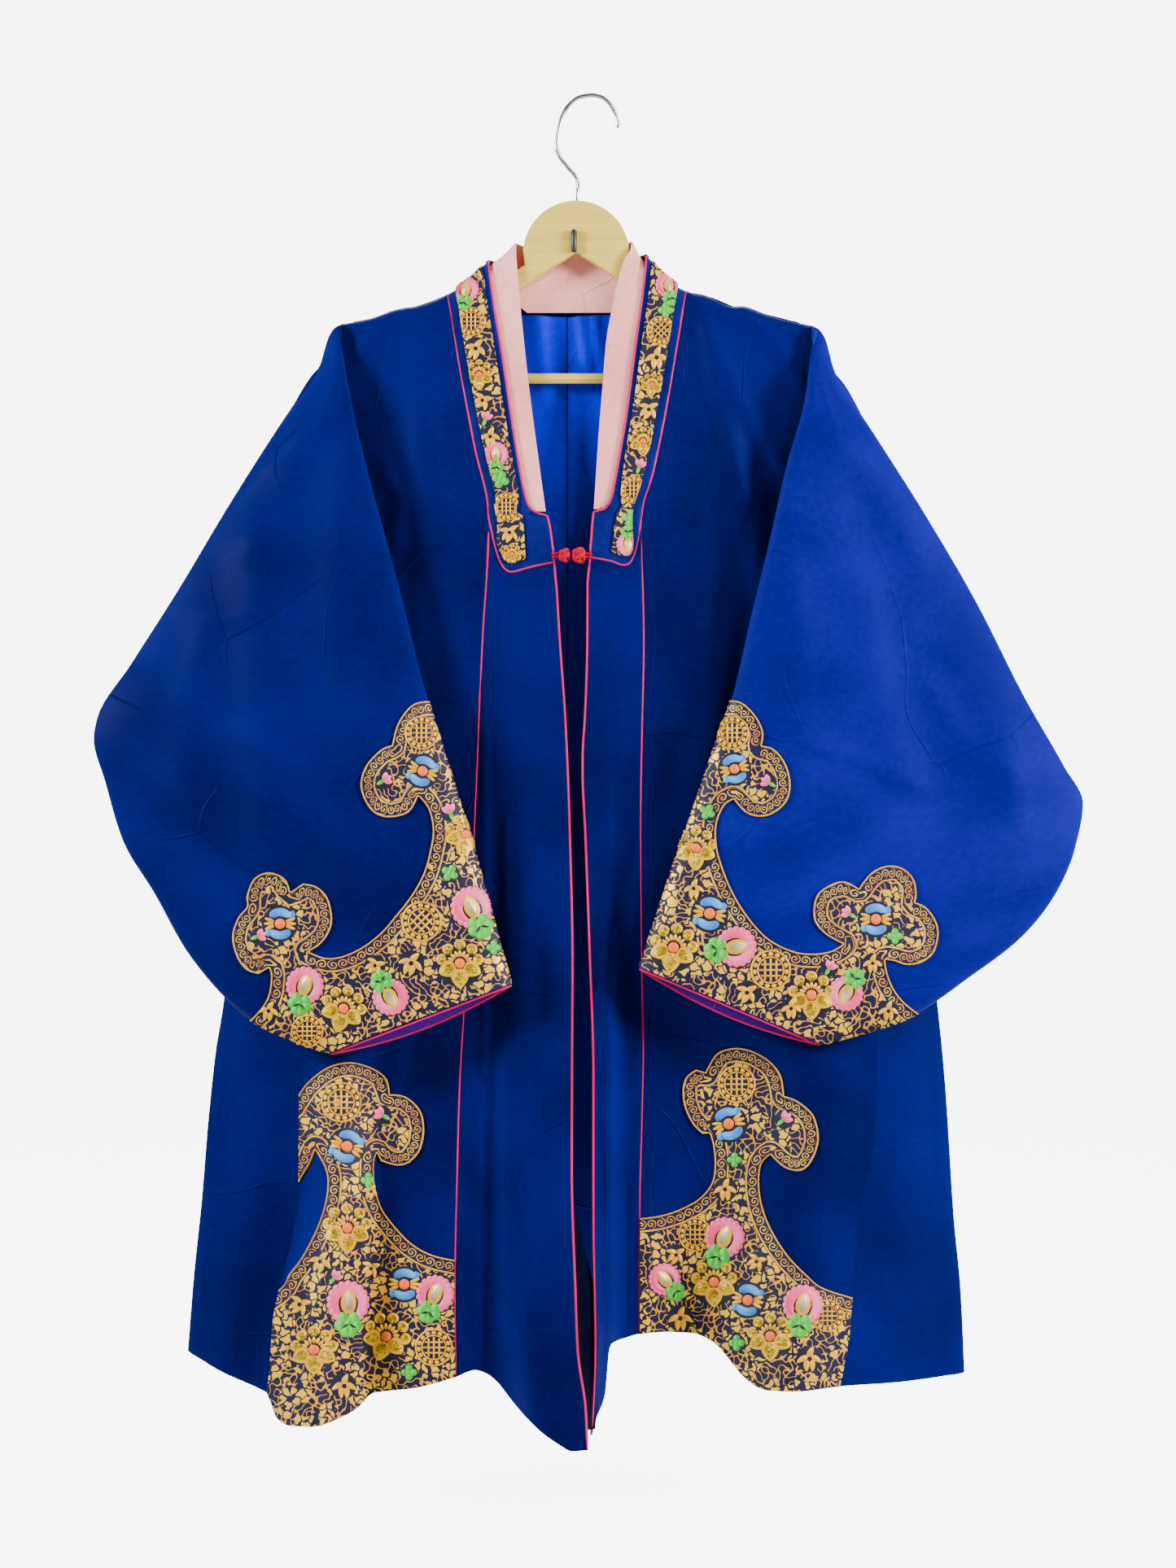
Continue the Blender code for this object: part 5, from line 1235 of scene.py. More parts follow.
sideColumns = split(sideColumns, detail["columns"])
centreColumns = split(centreColumns, detail["columns"])
bandRows = split(bandRows, detail["levels"])
neckShares = split(neckShares, 3)
wrapColumns = split(wrapColumns, 2)
backSteps = split(backSteps, detail["columns"])
armLength = shoulderLine["left"][-1][1] - armpitZ
allLevels = split([drop / armLength for drop in armDrops]
                  + [1 + (i + 1) / bodySteps for i in range(bodySteps)], detail["levels"])
bodySteps *= detail["levels"]
sideways = np.array((1.0, 0.0, 0.0))


def panelPoints(side, grid):
    return fine(faced(side, grid), detail["down"], detail["along"])


def flat(normals, rows, way):       # at a seam the wall's end has no part of its normal along way
    normals[rows] -= way * (normals[rows] * way).sum(-1, keepdims=True)
    normals[rows] /= lengths(normals[rows])


def frontSide(side):
    points = panelPoints(side, sideGrid(side))
    points = seamed(ruffled(points, gridNormals(points), creases[side]))
    normals = gridNormals(points)
    flat(normals, np.s_[0], np.array((0.0, 1.0, 0.0)))
    return wall(f"clothFrontSide_{side}", points, normals, clothWall, paints["satin"])


def frontCentre(side):
    points = panelPoints(side, centreGrid(side, edgeInset))
    points = ruffled(points, gridNormals(points), creases[side])
    return wall(f"clothFrontCentre_{side}", points, gridNormals(points), clothWall, paints["satin"])


# The left front's turned-in facing hangs behind the right front's edge at the hem; it is near-black, painted
# shade for the dark gap between the fronts
turnedIn = {"top": -985.0, "bottom": -1180.0, "rows": 24, "columns": 6, "widensOver": 90}


def paintedShadeFacing():
    rows = []
    for z in np.linspace(turnedIn["top"], turnedIn["bottom"], turnedIn["rows"]):
        near, far = frontSpot("left", 0, z), frontSpot("right", 0, z)
        wide = min((turnedIn["top"] - z) / turnedIn["widensOver"] + 0.05, 1)
        far = near + (far + Vector((4, 0, 0)) * mm - near) * wide
        rows.append([near + (far - near) * s + Vector((0, 3 + 5 * s, 0)) * mm
                     for s in np.linspace(0, 1, turnedIn["columns"])])
    points = fine(rows, 1, 2)
    return wall("clothShadeFacing", points, gridNormals(points), thinWall, paints["shade"])


def collarBand(side):
    points = panelPoints(side, bandGrid(side, edgeInset, pipedEdge))
    normals = gridNormals(points)
    flat(normals, np.s_[0], sideways)
    return wall(f"clothBand_{side}", points, normals, clothWall, paints["band"])


def ribbonGrid(side):
    rows = []
    for row in neckRows(side) + list(bandRows)[:-1] + [ribbonEnd]:
        if isinstance(row, tuple):
            shares = ribbonNeck
        else:
            z = mix(topZ(side, 0.6), follow(footLine[side], 0.6), row)
            wide = abs(across(side, 1, z) - across(side, 0, z))
            inner = max(shareAt(side, follow(ribbonInner[side], z), z), 0.16)
            shares = (inner, 1 - ribbonOffset / wide)
        rows.append([bandSpot(side, row, mix(*shares, t / 8)) for t in range(9)])
    return rows


def ribbon(side):
    points = panelPoints(side, ribbonGrid(side))
    normals = gridNormals(points)
    flat(normals, np.s_[0], sideways)
    points = points + normals * (thinWall + 2 * seamGap) * mm
    item = wall(f"clothRibbon_{side}", points, normals, thinWall, paints["ribbon"])
    flatMap(item.data)
    return item


def innerCollar(side):
    free, sign = innerCollarEdge[side], outward[side]
    (top, start), bottom = free[0], free[-1][0]
    falls = list(zip(innerCollarColumns, innerCollarFall[side]))
    rows = []
    for g in split((1, 0.7, 0.42, 0.2, 0.08, 0.02), 3):
        behind = (neckDepth - 2.7) * neckRoll(g)
        rows.append([])
        for share, fall in falls:
            low = mix(innerCollarTop, innerCollarLow, share)
            x = mix(start + innerCollarWidth * share * sign, backCentreX, g)
            lean = 3.4 * share * min(g * 2, 1)
            rows[-1].append(place(x, lean - behind, mix(top - fall, low, min(g * 2, 1))))
    for drop in split((0, 3, 8.5, 14, 40, 80, 120, 160, 200, top - bottom), 3):
        row = []
        for share, fall in falls:
            z = top - drop - fall * max(1 - drop / 80, 0)
            x = follow(free, top - drop) + innerCollarWidth * share * sign
            w = min(max(shareAt(side, x, z), 0), 1)
            face = forward(side, w, min(z, topZ(side, w) - shoulderRoll))
            row.append(place(x, (face - innerCollarDepth) * overHanger(drop), z))
        rows.append(row)
    points = fine(faced(side, rows), 1, 6)
    points = ruffled(points, gridNormals(points), [], 0.5)
    normals = gridNormals(points)
    flat(normals, np.s_[0], sideways)
    return wall(f"clothInnerCollar_{side}", points, normals, thinWall, paints["pinkSilk"])


# The lining leaves out these shares of the back at the side and the top, and rows at the hem
liningCut = {"side": 0.3, "top": 0.08, "hem": 4}


def back(side):
    grid = backGrid(side)
    reach = abs(seamLines[side]["princess"][0][1] - backCentreX)
    neck = [j for j, p in enumerate(grid[0]) if abs(p.x / mm + hookX - backCentreX) < reach]
    for j in neck:
        grid[0][j] += (grid[1][j] - grid[0][j]).normalized() * neckTrim * mm
    points = panelPoints(side, grid)
    points = seamed(ruffled(points, gridNormals(points), [], 0.7))
    normals = gridNormals(points)
    flat(normals, np.s_[:, -1 if side == "right" else 0], sideways)
    coat = wall(f"clothBack_{side}", points, normals, clothWall, paints["satin"])

    inside = points - normals * (clothWall + liningGap) * mm
    low, cols = int(liningCut["top"] * len(points)), points.shape[1]
    first = int(cols * liningCut["side"])
    part = np.s_[first:] if side == "right" else np.s_[:cols - first]
    inside, inward = (grid[low:-liningCut["hem"], part] for grid in (inside, normals))
    centre = -1 if side == "right" else 0
    inside = ruffled(inside, inward, liningCreases, 0.0)
    lining = wall(f"clothLining_{side}", inside, inward, thinWall, paints["lining"])
    return coat, lining, inside[:, centre] - inward[:, centre] * (thinWall + 0.15) * mm


def viewedShare(side, count):       # 1 on the layer that shows in front, 0 on the hidden one
    k = np.arange(count) / detail["around"]
    t = (k - 12) / 7 if side == "left" else k / 7
    return np.clip(4 * np.minimum(t, 1 - t), 0, 1)


def sleeve(side):
    points = fine(sleeveRings(side), detail["rings"], detail["around"], True)
    normals = gridNormals(points, True)
    x, z = seen(points)
    share = viewedShare(side, points.shape[1])[None]
    fade = np.clip(np.arange(len(points)) / (3.0 * detail["rings"]), 0, 1)[:, None]
    rise = (relief(sleeveCreases[side], x, z) + drift(x, z) * 1.3) * share * fade
    points = points + normals * (rise * mm)[..., None]
    normals = gridNormals(points, True)
    # the right sleeve takes the lighter copy of the satin: painted light
    silkName = "satin" if side == "left" else "satinPaintedLighter"
    coat = wall(f"clothSleeve_{side}", points, normals, clothWall, paints[silkName], True)

    around = detail["around"]
    hidden = np.s_[around:6 * around + 1] if side == "left" else np.s_[-6 * around:1 - around]
    start = int(detail["rings"] * (1 - facingShare)) - detail["rings"] - 1
    deep = (points - normals * (clothWall + seamGap) * mm)[start:, hidden]
    facing = wall(f"clothFacing_{side}", deep, normals[start:, hidden], thinWall, paints["facing"])
    return coat, facing, points, normals


# Ruyi panels

panelStyle = {"cornerTurn": 46.0, "smooth": 6, "longest": 60.0, "lift": 0.25}


def smoothOutline(outline):
    count = len(outline)
    corners, drawn = [], []
    for k in range(count):
        (ax, az), (bx, bz), (cx, cz) = outline[k - 1], outline[k], outline[(k + 1) % count]
        turn = abs(atan2(cz - bz, cx - bx) - atan2(bz - az, bx - ax))
        turn = min(turn, 2 * pi - turn) * 180 / pi
        long = max(hypot(bx - ax, bz - az), hypot(cx - bx, cz - bz)) > panelStyle["longest"]
        corners.append(turn > panelStyle["cornerTurn"] or long)
    points = []
    for k in range(count):
        p, q = outline[k], outline[(k + 1) % count]
        before, after = outline[k - 1], outline[(k + 2) % count]
        size = hypot(q[0] - p[0], q[1] - p[1])
        isLong = size > panelStyle["longest"]
        m = [0, 0] if corners[k] else [(q[i] - before[i]) / 2 for i in (0, 1)]
        n = [0, 0] if corners[(k + 1) % count] else [(after[i] - p[i]) / 2 for i in (0, 1)]
        for j in range(panelStyle["smooth"]):
            t = j / panelStyle["smooth"]
            a, b, c, d = cubic(t)
            points.append(tuple(mix(p[i], q[i], t) if isLong else a * p[i] + b * m[i] + c * q[i] + d * n[i]
                                for i in (0, 1)))
            drawn.append(not isLong)
    return points, drawn


def cutTo(item, outline):
    verts = [tuple(place(x, reach, z)) for reach in cutterReach for x, z in outline]
    mesh = meshOf("cutter", verts, prismFaces(len(outline)))
    facesOutwards(mesh)
    cutter = linked("cutter", mesh)
    keep = item.modifiers.new("Outline", "BOOLEAN")
    keep.operation, keep.solver, keep.object = "INTERSECT", "EXACT", cutter
    applied(item)
    bpy.data.objects.remove(cutter)


def seenVertices(mesh):
    co = np.empty(len(mesh.vertices) * 3)
    mesh.vertices.foreach_get("co", co)
    return seen(co.reshape(-1, 3))


def fillMap(mesh, layer, spots):        # a spot for each vertex
    corner = np.empty(len(mesh.loops), dtype=np.int32)
    mesh.loops.foreach_get("vertex_index", corner)
    mesh.uv_layers[layer].data.foreach_set("uv", spots[corner].astype(np.float32).ravel())


def flatMap(mesh):      # brocade's pattern lies as seen from the front
    fillMap(mesh, "cloth", np.stack(seenVertices(mesh), 1) * mm)


def rimMap(mesh, points, drawn):        # run along the outline, and distance from it
    x, z = seenVertices(mesh)
    line = np.array(points)
    nxt = np.roll(line, -1, axis=0)
    size = np.hypot(*(nxt - line).T) + 1e-9
    runs = np.concatenate([[0], np.cumsum(size)[:-1]])
    kept = np.array(drawn)
    a, way, size, runs = line[kept], (nxt - line)[kept], size[kept], runs[kept]
    t = np.clip(((x[:, None] - a[:, 0]) * way[:, 0] + (z[:, None] - a[:, 1]) * way[:, 1]) / size**2, 0, 1)
    far = np.hypot(x[:, None] - a[:, 0] - t * way[:, 0], z[:, None] - a[:, 1] - t * way[:, 1])
    best = far.argmin(axis=1)
    pick = np.arange(len(x))
    rim = np.stack([runs[best] + t[pick, best] * size[best], far[pick, best]], 1) * mm
    mesh.uv_layers.new(name="rim")
    fillMap(mesh, "rim", rim)
    flatMap(mesh)


def surfaceOf(item):
    mesh = item.data
    return BVHTree.FromPolygons([v.co for v in mesh.vertices], [tuple(p.vertices) for p in mesh.polygons])


def strike(surface, x, z):
    start = place(x, 260, z)
    way = (place(x, 0, z) - start).normalized()
    return surface.ray_cast(start, way)[:2]


def laidOn(surface, flatGrid, centre):      # rows of (x, z, height) pressed onto a surface
    grid = []
    for row in flatGrid:
        line = []
        for x, z, rise in row:
            for _ in range(9):
                spot, normal = strike(surface, x, z)
                if spot:
                    break
                x, z = mix(x, centre[0], 0.14), mix(z, centre[1], 0.14)
            if not spot:
                return None
            if normal.y > 0:
                normal = -normal
            line.append(tuple(spot + normal * rise * mm))
        grid.append(line)
    return np.array(grid)


def unitMap(part, rows, cols):
    verts, faces, _ = part
    half = rows * cols
    index = faces % half
    share = np.stack([(index % cols) / (cols - 1), (index // cols) / (rows - 1)], -1)
    return verts, faces, share


def spun(x, z, angle, far):     # the spot so far from (x, z) at an angle in degrees
    return x + far * sin(angle * pi / 180), z + far * cos(angle * pi / 180)


def petal(x, z, angle, start, length, width, rise, blunt=0.8, rows=7, cols=5, bend=0.0):
    turn = angle * pi / 180
    grid = []
    for i in range(rows):
        s = i / (rows - 1)
        half = width / 2 * (sin(pi * (0.04 + 0.94 * s) ** blunt)) ** 0.65
        a = turn + bend * s
        ox, oz = x + sin(a) * (start + length * s), z + cos(a) * (start + length * s)
        grid.append([(ox - cos(a) * half * t, oz + sin(a) * half * t,
                      0.2 + rise * sqrt(max(1 - t * t, 0)) * (0.35 + 0.65 * sin(pi * s)))
                     for t in np.linspace(-1, 1, cols)])
    return [row[::-1] for row in grid]


def hoop(x, z, inner, outer, rise, steps=28):
    grid = []
    for k in range(steps + 1):
        a = 2 * pi * k / steps
        grid.append([(x + r * sin(a), z + r * cos(a), h)
                     for r, h in ((inner, 0.15), (mix(inner, outer, 0.5), rise), (outer, 0.15))])
    return grid


def bar(x, z, angle, offset, length, width, rise):
    turn = angle * pi / 180
    cx, cz = x + offset * cos(turn), z - offset * sin(turn)
    grid = []
    for s in np.linspace(-0.5, 0.5, 5):
        ox, oz = cx + sin(turn) * length * s, cz + cos(turn) * length * s
        grid.append([(ox + cos(turn) * width / 2 * t, oz - sin(turn) * width / 2 * t,
                      0.15 + rise * (1 - abs(t))) for t in (1, 0, -1)])
    return grid


def disc(x, z, radius, rise, lift=0.1, steps=20):
    return [[(x + radius * r * sin(2 * pi * k / steps), z + radius * r * cos(2 * pi * k / steps),
              lift + rise * sqrt(1 - r * r)) for r in (0.02, 0.5, 0.85, 1)] for k in range(steps + 1)]


def spoke(x, z, angle, start, length, width, rise, bend=0.0):
    return petal(x, z, angle, start, length, width, rise, 0.9, 5, 3, bend)


def arc(x, z, angle, radius, width, spread, rise, steps=15):     # a C-shaped petal round (x, z)
    grid = []
    for k in range(steps):
        s = 2 * k / (steps - 1) - 1
        a = (angle + s * spread) * pi / 180
        half = width / 2 * (1 - abs(s) ** 4 * 0.96) ** 0.5
        grid.append([(x + (radius + half * c) * sin(a), z + (radius + half * c) * cos(a),
                      0.2 + rise * sqrt(max(1 - c * c, 0))) for c in (-1, -0.5, 0, 0.5, 1)])
    return grid


def lobed(thread, x, z, turn, reach, radius, angles, rise):
    return [(thread, disc(*spun(x, z, turn + a, reach), radius, rise, 0.2, 12)) for a in angles]


def lotus(x, z, size, turn):
    r = size / 2
    ux, uz = spun(x, z, turn, r * 0.2)
    parts = [("navy", disc(ux, uz, r * 1.02, 0.1))]
    parts += lobed("rose", ux, uz, turn, r * 0.8, r * 0.17, range(-140, 141, 20), 0.7)
    parts += [("rose", arc(ux, uz, turn, r * 0.64, r * 0.46, 146, 1.0)),
              ("gold", petal(ux, uz, turn, -r * 0.5, r * 1.12, r * 0.68, 1.15, 0.85)),
              ("silver", petal(ux, uz, turn, -r * 0.4, r * 0.92, r * 0.48, 1.6, 0.85))]
    bx, bz = spun(x, z, turn, -r * 0.74)
    parts += lobed("leaf", bx, bz, turn, r * 0.36, r * 0.27, (45, 100, 160, -160, -100, -45), 1.4)
    return parts + [("leaf", disc(bx, bz, r * 0.3, 1.2)),
                    ("navy", spoke(bx, bz, turn + 120, 0, r * 0.4, r * 0.1, 1.9)),
                    ("navy", spoke(bx, bz, turn - 120, 0, r * 0.4, r * 0.1, 1.9))]


def goldFlower(x, z, size, turn):
    r = size / 2
    parts = [("navy", disc(x, z, r * 1.02, 0.1))]
    parts += [("gold", spoke(x, z, turn + 22 * k, r * 0.3, r * 0.24, r * 0.12, 0.8)) for k in range(-4, 5)]
    for a, far, wide in ((116, 0.58, 0.6), (-116, 0.58, 0.6), (180, 0.66, 0.66)):
        parts += [("gold", petal(x, z, turn + a, r * 0.24, r * (far + 0.14), r * (wide + 0.1), 0.7, 0.7)),
                  ("glitter", petal(x, z, turn + a, r * 0.31, r * far, r * wide * 0.84, 1.4, 0.7))]
    for a in (-78, -40, 0, 40, 78):
        cx, cz = spun(x, z, turn + a, r * 0.76)
        parts += [("glitter", disc(cx, cz, r * 0.2, 0.8)),
                  ("gold", arc(cx, cz, turn + a, r * 0.2, r * 0.13, 118, 1.0, 9))]
    return parts + [("flame", disc(x, z, r * 0.22, 1.2, 0.6))]


def blueFlower(x, z, size, turn):
    r = size / 2
    parts = [("navy", disc(x, z, r * 0.98, 0.1))]
    for way in (0, 180):
        parts.append(("sky", arc(x, z, turn + way, r * 0.62, r * 0.44, 56, 1.0)))
        parts += lobed("sky", x, z, turn + way, r * 0.78, r * 0.2, (52,), 0.9)
        parts += [("gold", spoke(x, z, turn + a, r * 0.34, r * 0.5, r * 0.16, 0.8))
                  for a in (way + 70, way + 90, way + 110)]
    return parts + [("flame", disc(x, z, r * 0.28, 1.2, 0.6))]


def roundel(x, z, size, turn):
    r = size / 2
    parts = [("navy", disc(x, z, r * 0.95, 0.1)), ("gold", hoop(x, z, r * 0.9, r, 0.9)),
             ("gold", hoop(x, z, r * 0.6, r * 0.68, 0.7))]
    parts += [("gold", spoke(x, z, turn + 24 * k, r * 0.7, r * 0.17, r * 0.24, 0.6)) for k in range(15)]
    for angle in (turn, turn + 90):
        parts += [("gold", bar(x, z, angle, off * r, r * length, r * 0.1, 0.7))
                  for off, length in ((-0.28, 0.95), (0, 1.15), (0.28, 0.95))]
    return parts


def leaves(x, z, size, turn):
    parts = [("navy", disc(x, z, size * 0.5, 0.1))]
    parts += lobed("leaf", x, z, turn, size * 0.26, size * 0.2, (0, 90, 180, 270), 0.9)
    return parts + [("leaf", disc(x, z, size * 0.2, 0.8))]


def goldLeaf(x, z, size, turn):
    return [("navy", disc(x, z, size * 0.56, 0.1))] + [
        ("gold", petal(x, z, turn + a, size * 0.1, size * 0.42, size * 0.26, 0.9, 0.6, 6, 4, b))
        for a, b in ((0, 0.3), (72, 0.6), (-72, -0.6), (144, 0.4), (-144, -0.4))]


def rosebud(x, z, size, turn):
    parts = [("navy", disc(x, z, size * 0.55, 0.1))]
    parts += [("rose", petal(x, z, turn + a, 0, size * 0.5, size * 0.34, 0.8, 0.8, 6, 4))
              for a in (-45, 0, 45)]
    return parts + [("leaf", petal(x, z, turn + 180, 0, size * 0.5, size * 0.22, 0.6, 0.9, rows=6, cols=4))]


motifs = {"lotus": lotus, "gold": goldFlower, "blue": blueFlower, "roundel": roundel, "leaves": leaves,
          "goldLeaf": goldLeaf, "bud": rosebud}

panelMotifs = {     # kind, x, z, size, turn
    "Cuff_left": [("roundel", -137, -562, 25, 0), ("blue", -136, -596, 25, 20),
        ("bud", -170, -604, 11, 60), ("bud", -112, -632, 12, -20), ("gold", -98, -652, 30, 10),
        ("leaves", -112, -686, 14, 30), ("lotus", -91, -720, 31, -25), ("roundel", -137, -729, 30, 45),
        ("gold", -103, -766, 33, 0), ("goldLeaf", -146, -766, 22, 20), ("lotus", -166, -793, 27, 150),
        ("gold", -206, -806, 32, 15), ("lotus", -241, -789, 28, 15), ("blue", -262, -731, 26, 0),
        ("bud", -281, -742, 11, 70), ("goldLeaf", -178, -768, 18, 60), ("roundel", -238, -826, 24, 0),
        ("leaves", -73, -752, 12, 0), ("goldLeaf", -272, -808, 18, 10),
        ("goldLeaf", -133, -678, 16, -30)],
    "Cuff_right": [("roundel", 138, -562, 25, 0), ("blue", 140, -594, 24, -15),
        ("bud", 170, -606, 11, -60), ("gold", 106, -664, 30, 0), ("leaves", 116, -632, 13, 30),
        ("blue", 118, -722, 27, 10), ("gold", 86, -752, 34, 10), ("lotus", 138, -752, 30, 80),
        ("roundel", 172, -772, 30, 0), ("goldLeaf", 104, -700, 18, 0), ("gold", 208, -794, 33, 0),
        ("blue", 265, -727, 26, 0), ("bud", 241, -722, 11, -60), ("lotus", 240, -790, 26, -150),
        ("goldLeaf", 190, -806, 18, 0), ("goldLeaf", 151, -792, 20, 40), ("leaves", 282, -742, 13, 0),
        ("goldLeaf", 262, -766, 17, 0), ("goldLeaf", 276, -808, 18, 0), ("bud", 224, -770, 11, 30)],
    "Hem_left": [("roundel", -208, -889, 30, 0), ("blue", -203, -928, 27, 20),
        ("bud", -172, -900, 12, -60), ("leaves", -184, -958, 13, 0), ("gold", -203, -1000, 34, 0),
        ("goldLeaf", -226, -1030, 20, 20), ("blue", -152, -1050, 26, 0), ("lotus", -202, -1070, 32, 0),
        ("lotus", -126, -1062, 28, 20), ("gold", -168, -1096, 34, 20), ("bud", -214, -1044, 11, 40),
        ("gold", -232, -1108, 33, 0), ("roundel", -126, -1106, 28, 0), ("goldLeaf", -182, -1036, 18, 50),
        ("leaves", -148, -1128, 13, 0), ("goldLeaf", -206, -1140, 22, 0),
        ("goldLeaf", -244, -1068, 20, 60), ("goldLeaf", -182, -968, 15, 20)],
    "Hem_right": [("roundel", 142, -873, 28, 0), ("blue", 135, -908, 27, -20), ("bud", 184, -904, 12, 50),
        ("leaves", 140, -940, 12, 0), ("goldLeaf", 132, -966, 20, 0), ("lotus", 130, -1012, 30, 20),
        ("roundel", 105, -1006, 25, 0), ("gold", 122, -1048, 33, 0), ("blue", 152, -1064, 26, 10),
        ("gold", 172, -1096, 33, 0), ("lotus", 200, -1072, 30, 10), ("roundel", 222, -1078, 24, 0),
        ("goldLeaf", 88, -1024, 18, 40), ("lotus", 80, -1048, 24, -40), ("goldLeaf", 92, -1080, 22, 0),
        ("goldLeaf", 160, -1030, 18, 60), ("goldLeaf", 206, -1116, 22, 0), ("leaves", 142, -1102, 13, 0)],
}
ribbonMotifs = {
    "left": [("lotus", -98, -172, 22, 10), ("roundel", -93, -198, 24, 0), ("goldLeaf", -89, -222, 19, 20),
        ("gold", -86, -245, 24, 0), ("goldLeaf", -83, -268, 17, 60), ("bud", -80, -284, 12, 20),
        ("goldLeaf", -76, -300, 17, 0), ("lotus", -71, -318, 21, 0), ("leaves", -67, -338, 16, 20),
        ("roundel", -62, -362, 23, 0), ("goldLeaf", -59, -385, 17, 30), ("gold", -57, -404, 17, 0)],
    "right": [("lotus", 82, -168, 22, -10), ("leaves", 79, -188, 14, 0), ("roundel", 75, -206, 24, 45),
        ("goldLeaf", 71, -230, 20, 0), ("gold", 67, -254, 19, 10), ("goldLeaf", 64, -276, 18, 40),
        ("gold", 59, -304, 23, 0), ("bud", 56, -326, 12, 20), ("roundel", 51, -347, 23, 0),
        ("leaves", 48, -372, 16, 10), ("lotus", 46, -393, 20, 180)],
}
motifScale = {"lotus": 1.26, "gold": 1.26, "blue": 1.28, "roundel": 1.2, "leaves": 1.2, "goldLeaf": 0.95,
              "bud": 1.3}


def embroider(name, surface, motifRows, scale=1.0):
    parts, slots = [], []
    order = list(threads)
    for kind, x, z, size, turn in motifRows:
        for thread, flatGrid in motifs[kind](x, z, size * mix(1.0, motifScale[kind], scale), turn):
            points = laidOn(surface, flatGrid, (x, z))
            if points is None:
                continue
            normals = gridNormals(points)
            parts.append(unitMap(wallData(points, normals, 0.5), *points.shape[:2]))
            slots.append(order.index(thread))
    return join(name, parts, ([paints[thread] for thread in order], slots))


# Couched cords and stitches, repeated along a path by a node tree

def beadTree():
    tree, take, give = group("Beads along a path", [
        ("Geometry", "NodeSocketGeometry"), ("Pitch", number), ("Length", number), ("Thickness", number),
        ("Material", "NodeSocketMaterial")], [("Geometry", "NodeSocketGeometry")], "GeometryNodeTree")

    def result(kind, inputs=None, **settings):
        return node(tree, kind, inputs, **settings).outputs[0]

    curve = result("GeometryNodeMeshToCurve", {"Mesh": take["Geometry"]})
    even = result("GeometryNodeResampleCurve", {"Curve": curve, "Length": take["Pitch"]}, mode="LENGTH")
    bead = result("GeometryNodeMeshUVSphere", {"Segments": 6, "Rings": 4, "Radius": 0.5})
    tangent = result("GeometryNodeInputTangent")
    aim = result("FunctionNodeAlignRotationToVector", {"Vector": tangent}, axis="Z")
    size = result("ShaderNodeCombineXYZ", {0: take["Thickness"], 1: take["Thickness"], 2: take["Length"]})
    many = result("GeometryNodeInstanceOnPoints", {"Points": even, "Instance": bead, "Rotation": aim,
                                                 "Scale": size})
    real = result("GeometryNodeRealizeInstances", {"Geometry": many})
    smooth = result("GeometryNodeSetShadeSmooth", {"Geometry": real})
    painted = result("GeometryNodeSetMaterial", {"Geometry": smooth, "Material": take["Material"]})
    feed(tree, give, {"Geometry": painted})
    return tree, {item.name: item.identifier for item in tree.interface.items_tree if item.in_out == "INPUT"}


beads, beadSockets = beadTree()


def beaded(name, paths, paint, pitch, length, thickness):
    verts, edges = [], []
    for path in paths:
        edges += [(len(verts) + k, len(verts) + k + 1) for k in range(len(path) - 1)]
        verts += [tuple(p) for p in path]
    item = linked(name, meshOf(name, verts, [], edges))
    row = item.modifiers.new("Beads", "NODES")
    row.node_group = beads
    for label, value in (("Pitch", pitch), ("Length", length), ("Thickness", thickness)):
        row[beadSockets[label]] = value * mm
    row[beadSockets["Material"]] = paint
    return applied(item)


cordStyle = {"pitch": 1.5, "length": 2.1, "thickness": 1.25}
cordLift = 0.35


def couchedCord(name, surface, points, drawn):
    paths, path = [], []
    count = len(points)
    for k in range(count + 1):
        (x, z), (nx, nz) = points[k % count], points[(k + 1) % count]
        size = hypot(nx - x, nz - z) + 1e-9
        spot = None
        if drawn[k % count]:
            for inset in (0.7, 1.2):        # just inside the cut edge, whichever way round
                for way in (1, -1):
                    if spot is None:
                        ix, iz = x + way * inset * (nz - z) / size, z - way * inset * (nx - x) / size
                        spot, normal = strike(surface, ix, iz)
        if spot is None:
            if len(path) > 2:
                paths.append(path)
            path = []
        else:
            normal = -normal if normal.y > 0 else normal
            path.append(spot + normal * cordLift * mm)
    if len(path) > 2:
        paths.append(path)
    return beaded(name, paths, paints["gold"], **cordStyle)


# Pipings, knots and hanger

def sunk(side, grid):
    points = fine(faced(side, grid), 1, 1)
    points = points - gridNormals(points) * clothWall / 2 * mm
    points = points[:, ::-1] if side == "left" else points
    return [[Vector(p) for p in row] for row in points]


def pressed(side, path):        # the fronts' own folds, given to what is laid on them
    points = array([path])[0]
    x, z = seen(points)
    points[:, 1] -= (relief(creases[side], x, z) + drift(x, z)) * mm * (z < armpitZ - 2)
    return points


def pipings(side):
    half = clothWall / 2
    items = []

    def lay(name, path):
        path[0] = path[0] + (path[1] - path[0]).normalized() * 2 * seamGap * mm
        path = finer(pressed(side, path)[:, None], 2)[:, 0]
        items.append(tube(f"pipe{name}_{side}", path, pipingRadius, 10, paints["crimson"], ends=0.6))

    band = sunk(side, bandGrid(side, pipingRadius, 0.01))
    front = sunk(side, centreGrid(side, pipingRadius))
    lay("Edge", [row[0] for row in band + front])
    foot = footPoints(side)[:0:-1]
    stop = across(side, 0, foot[-1][1]) + (edgeInset + seamGap) * outward[side]
    foot.append((stop, footLine[side][0][1]))
    lay("Band", [row[-1] for row in band[:-1]] + laid(side, foot, half))
    heights = [mix(princessTop[side], hemZ(side, 1), i / bodySteps) for i in range(bodySteps + 1)]
    lay("Princess", laid(side, [(across(side, 1, z), z) for z in heights], half))
    return items


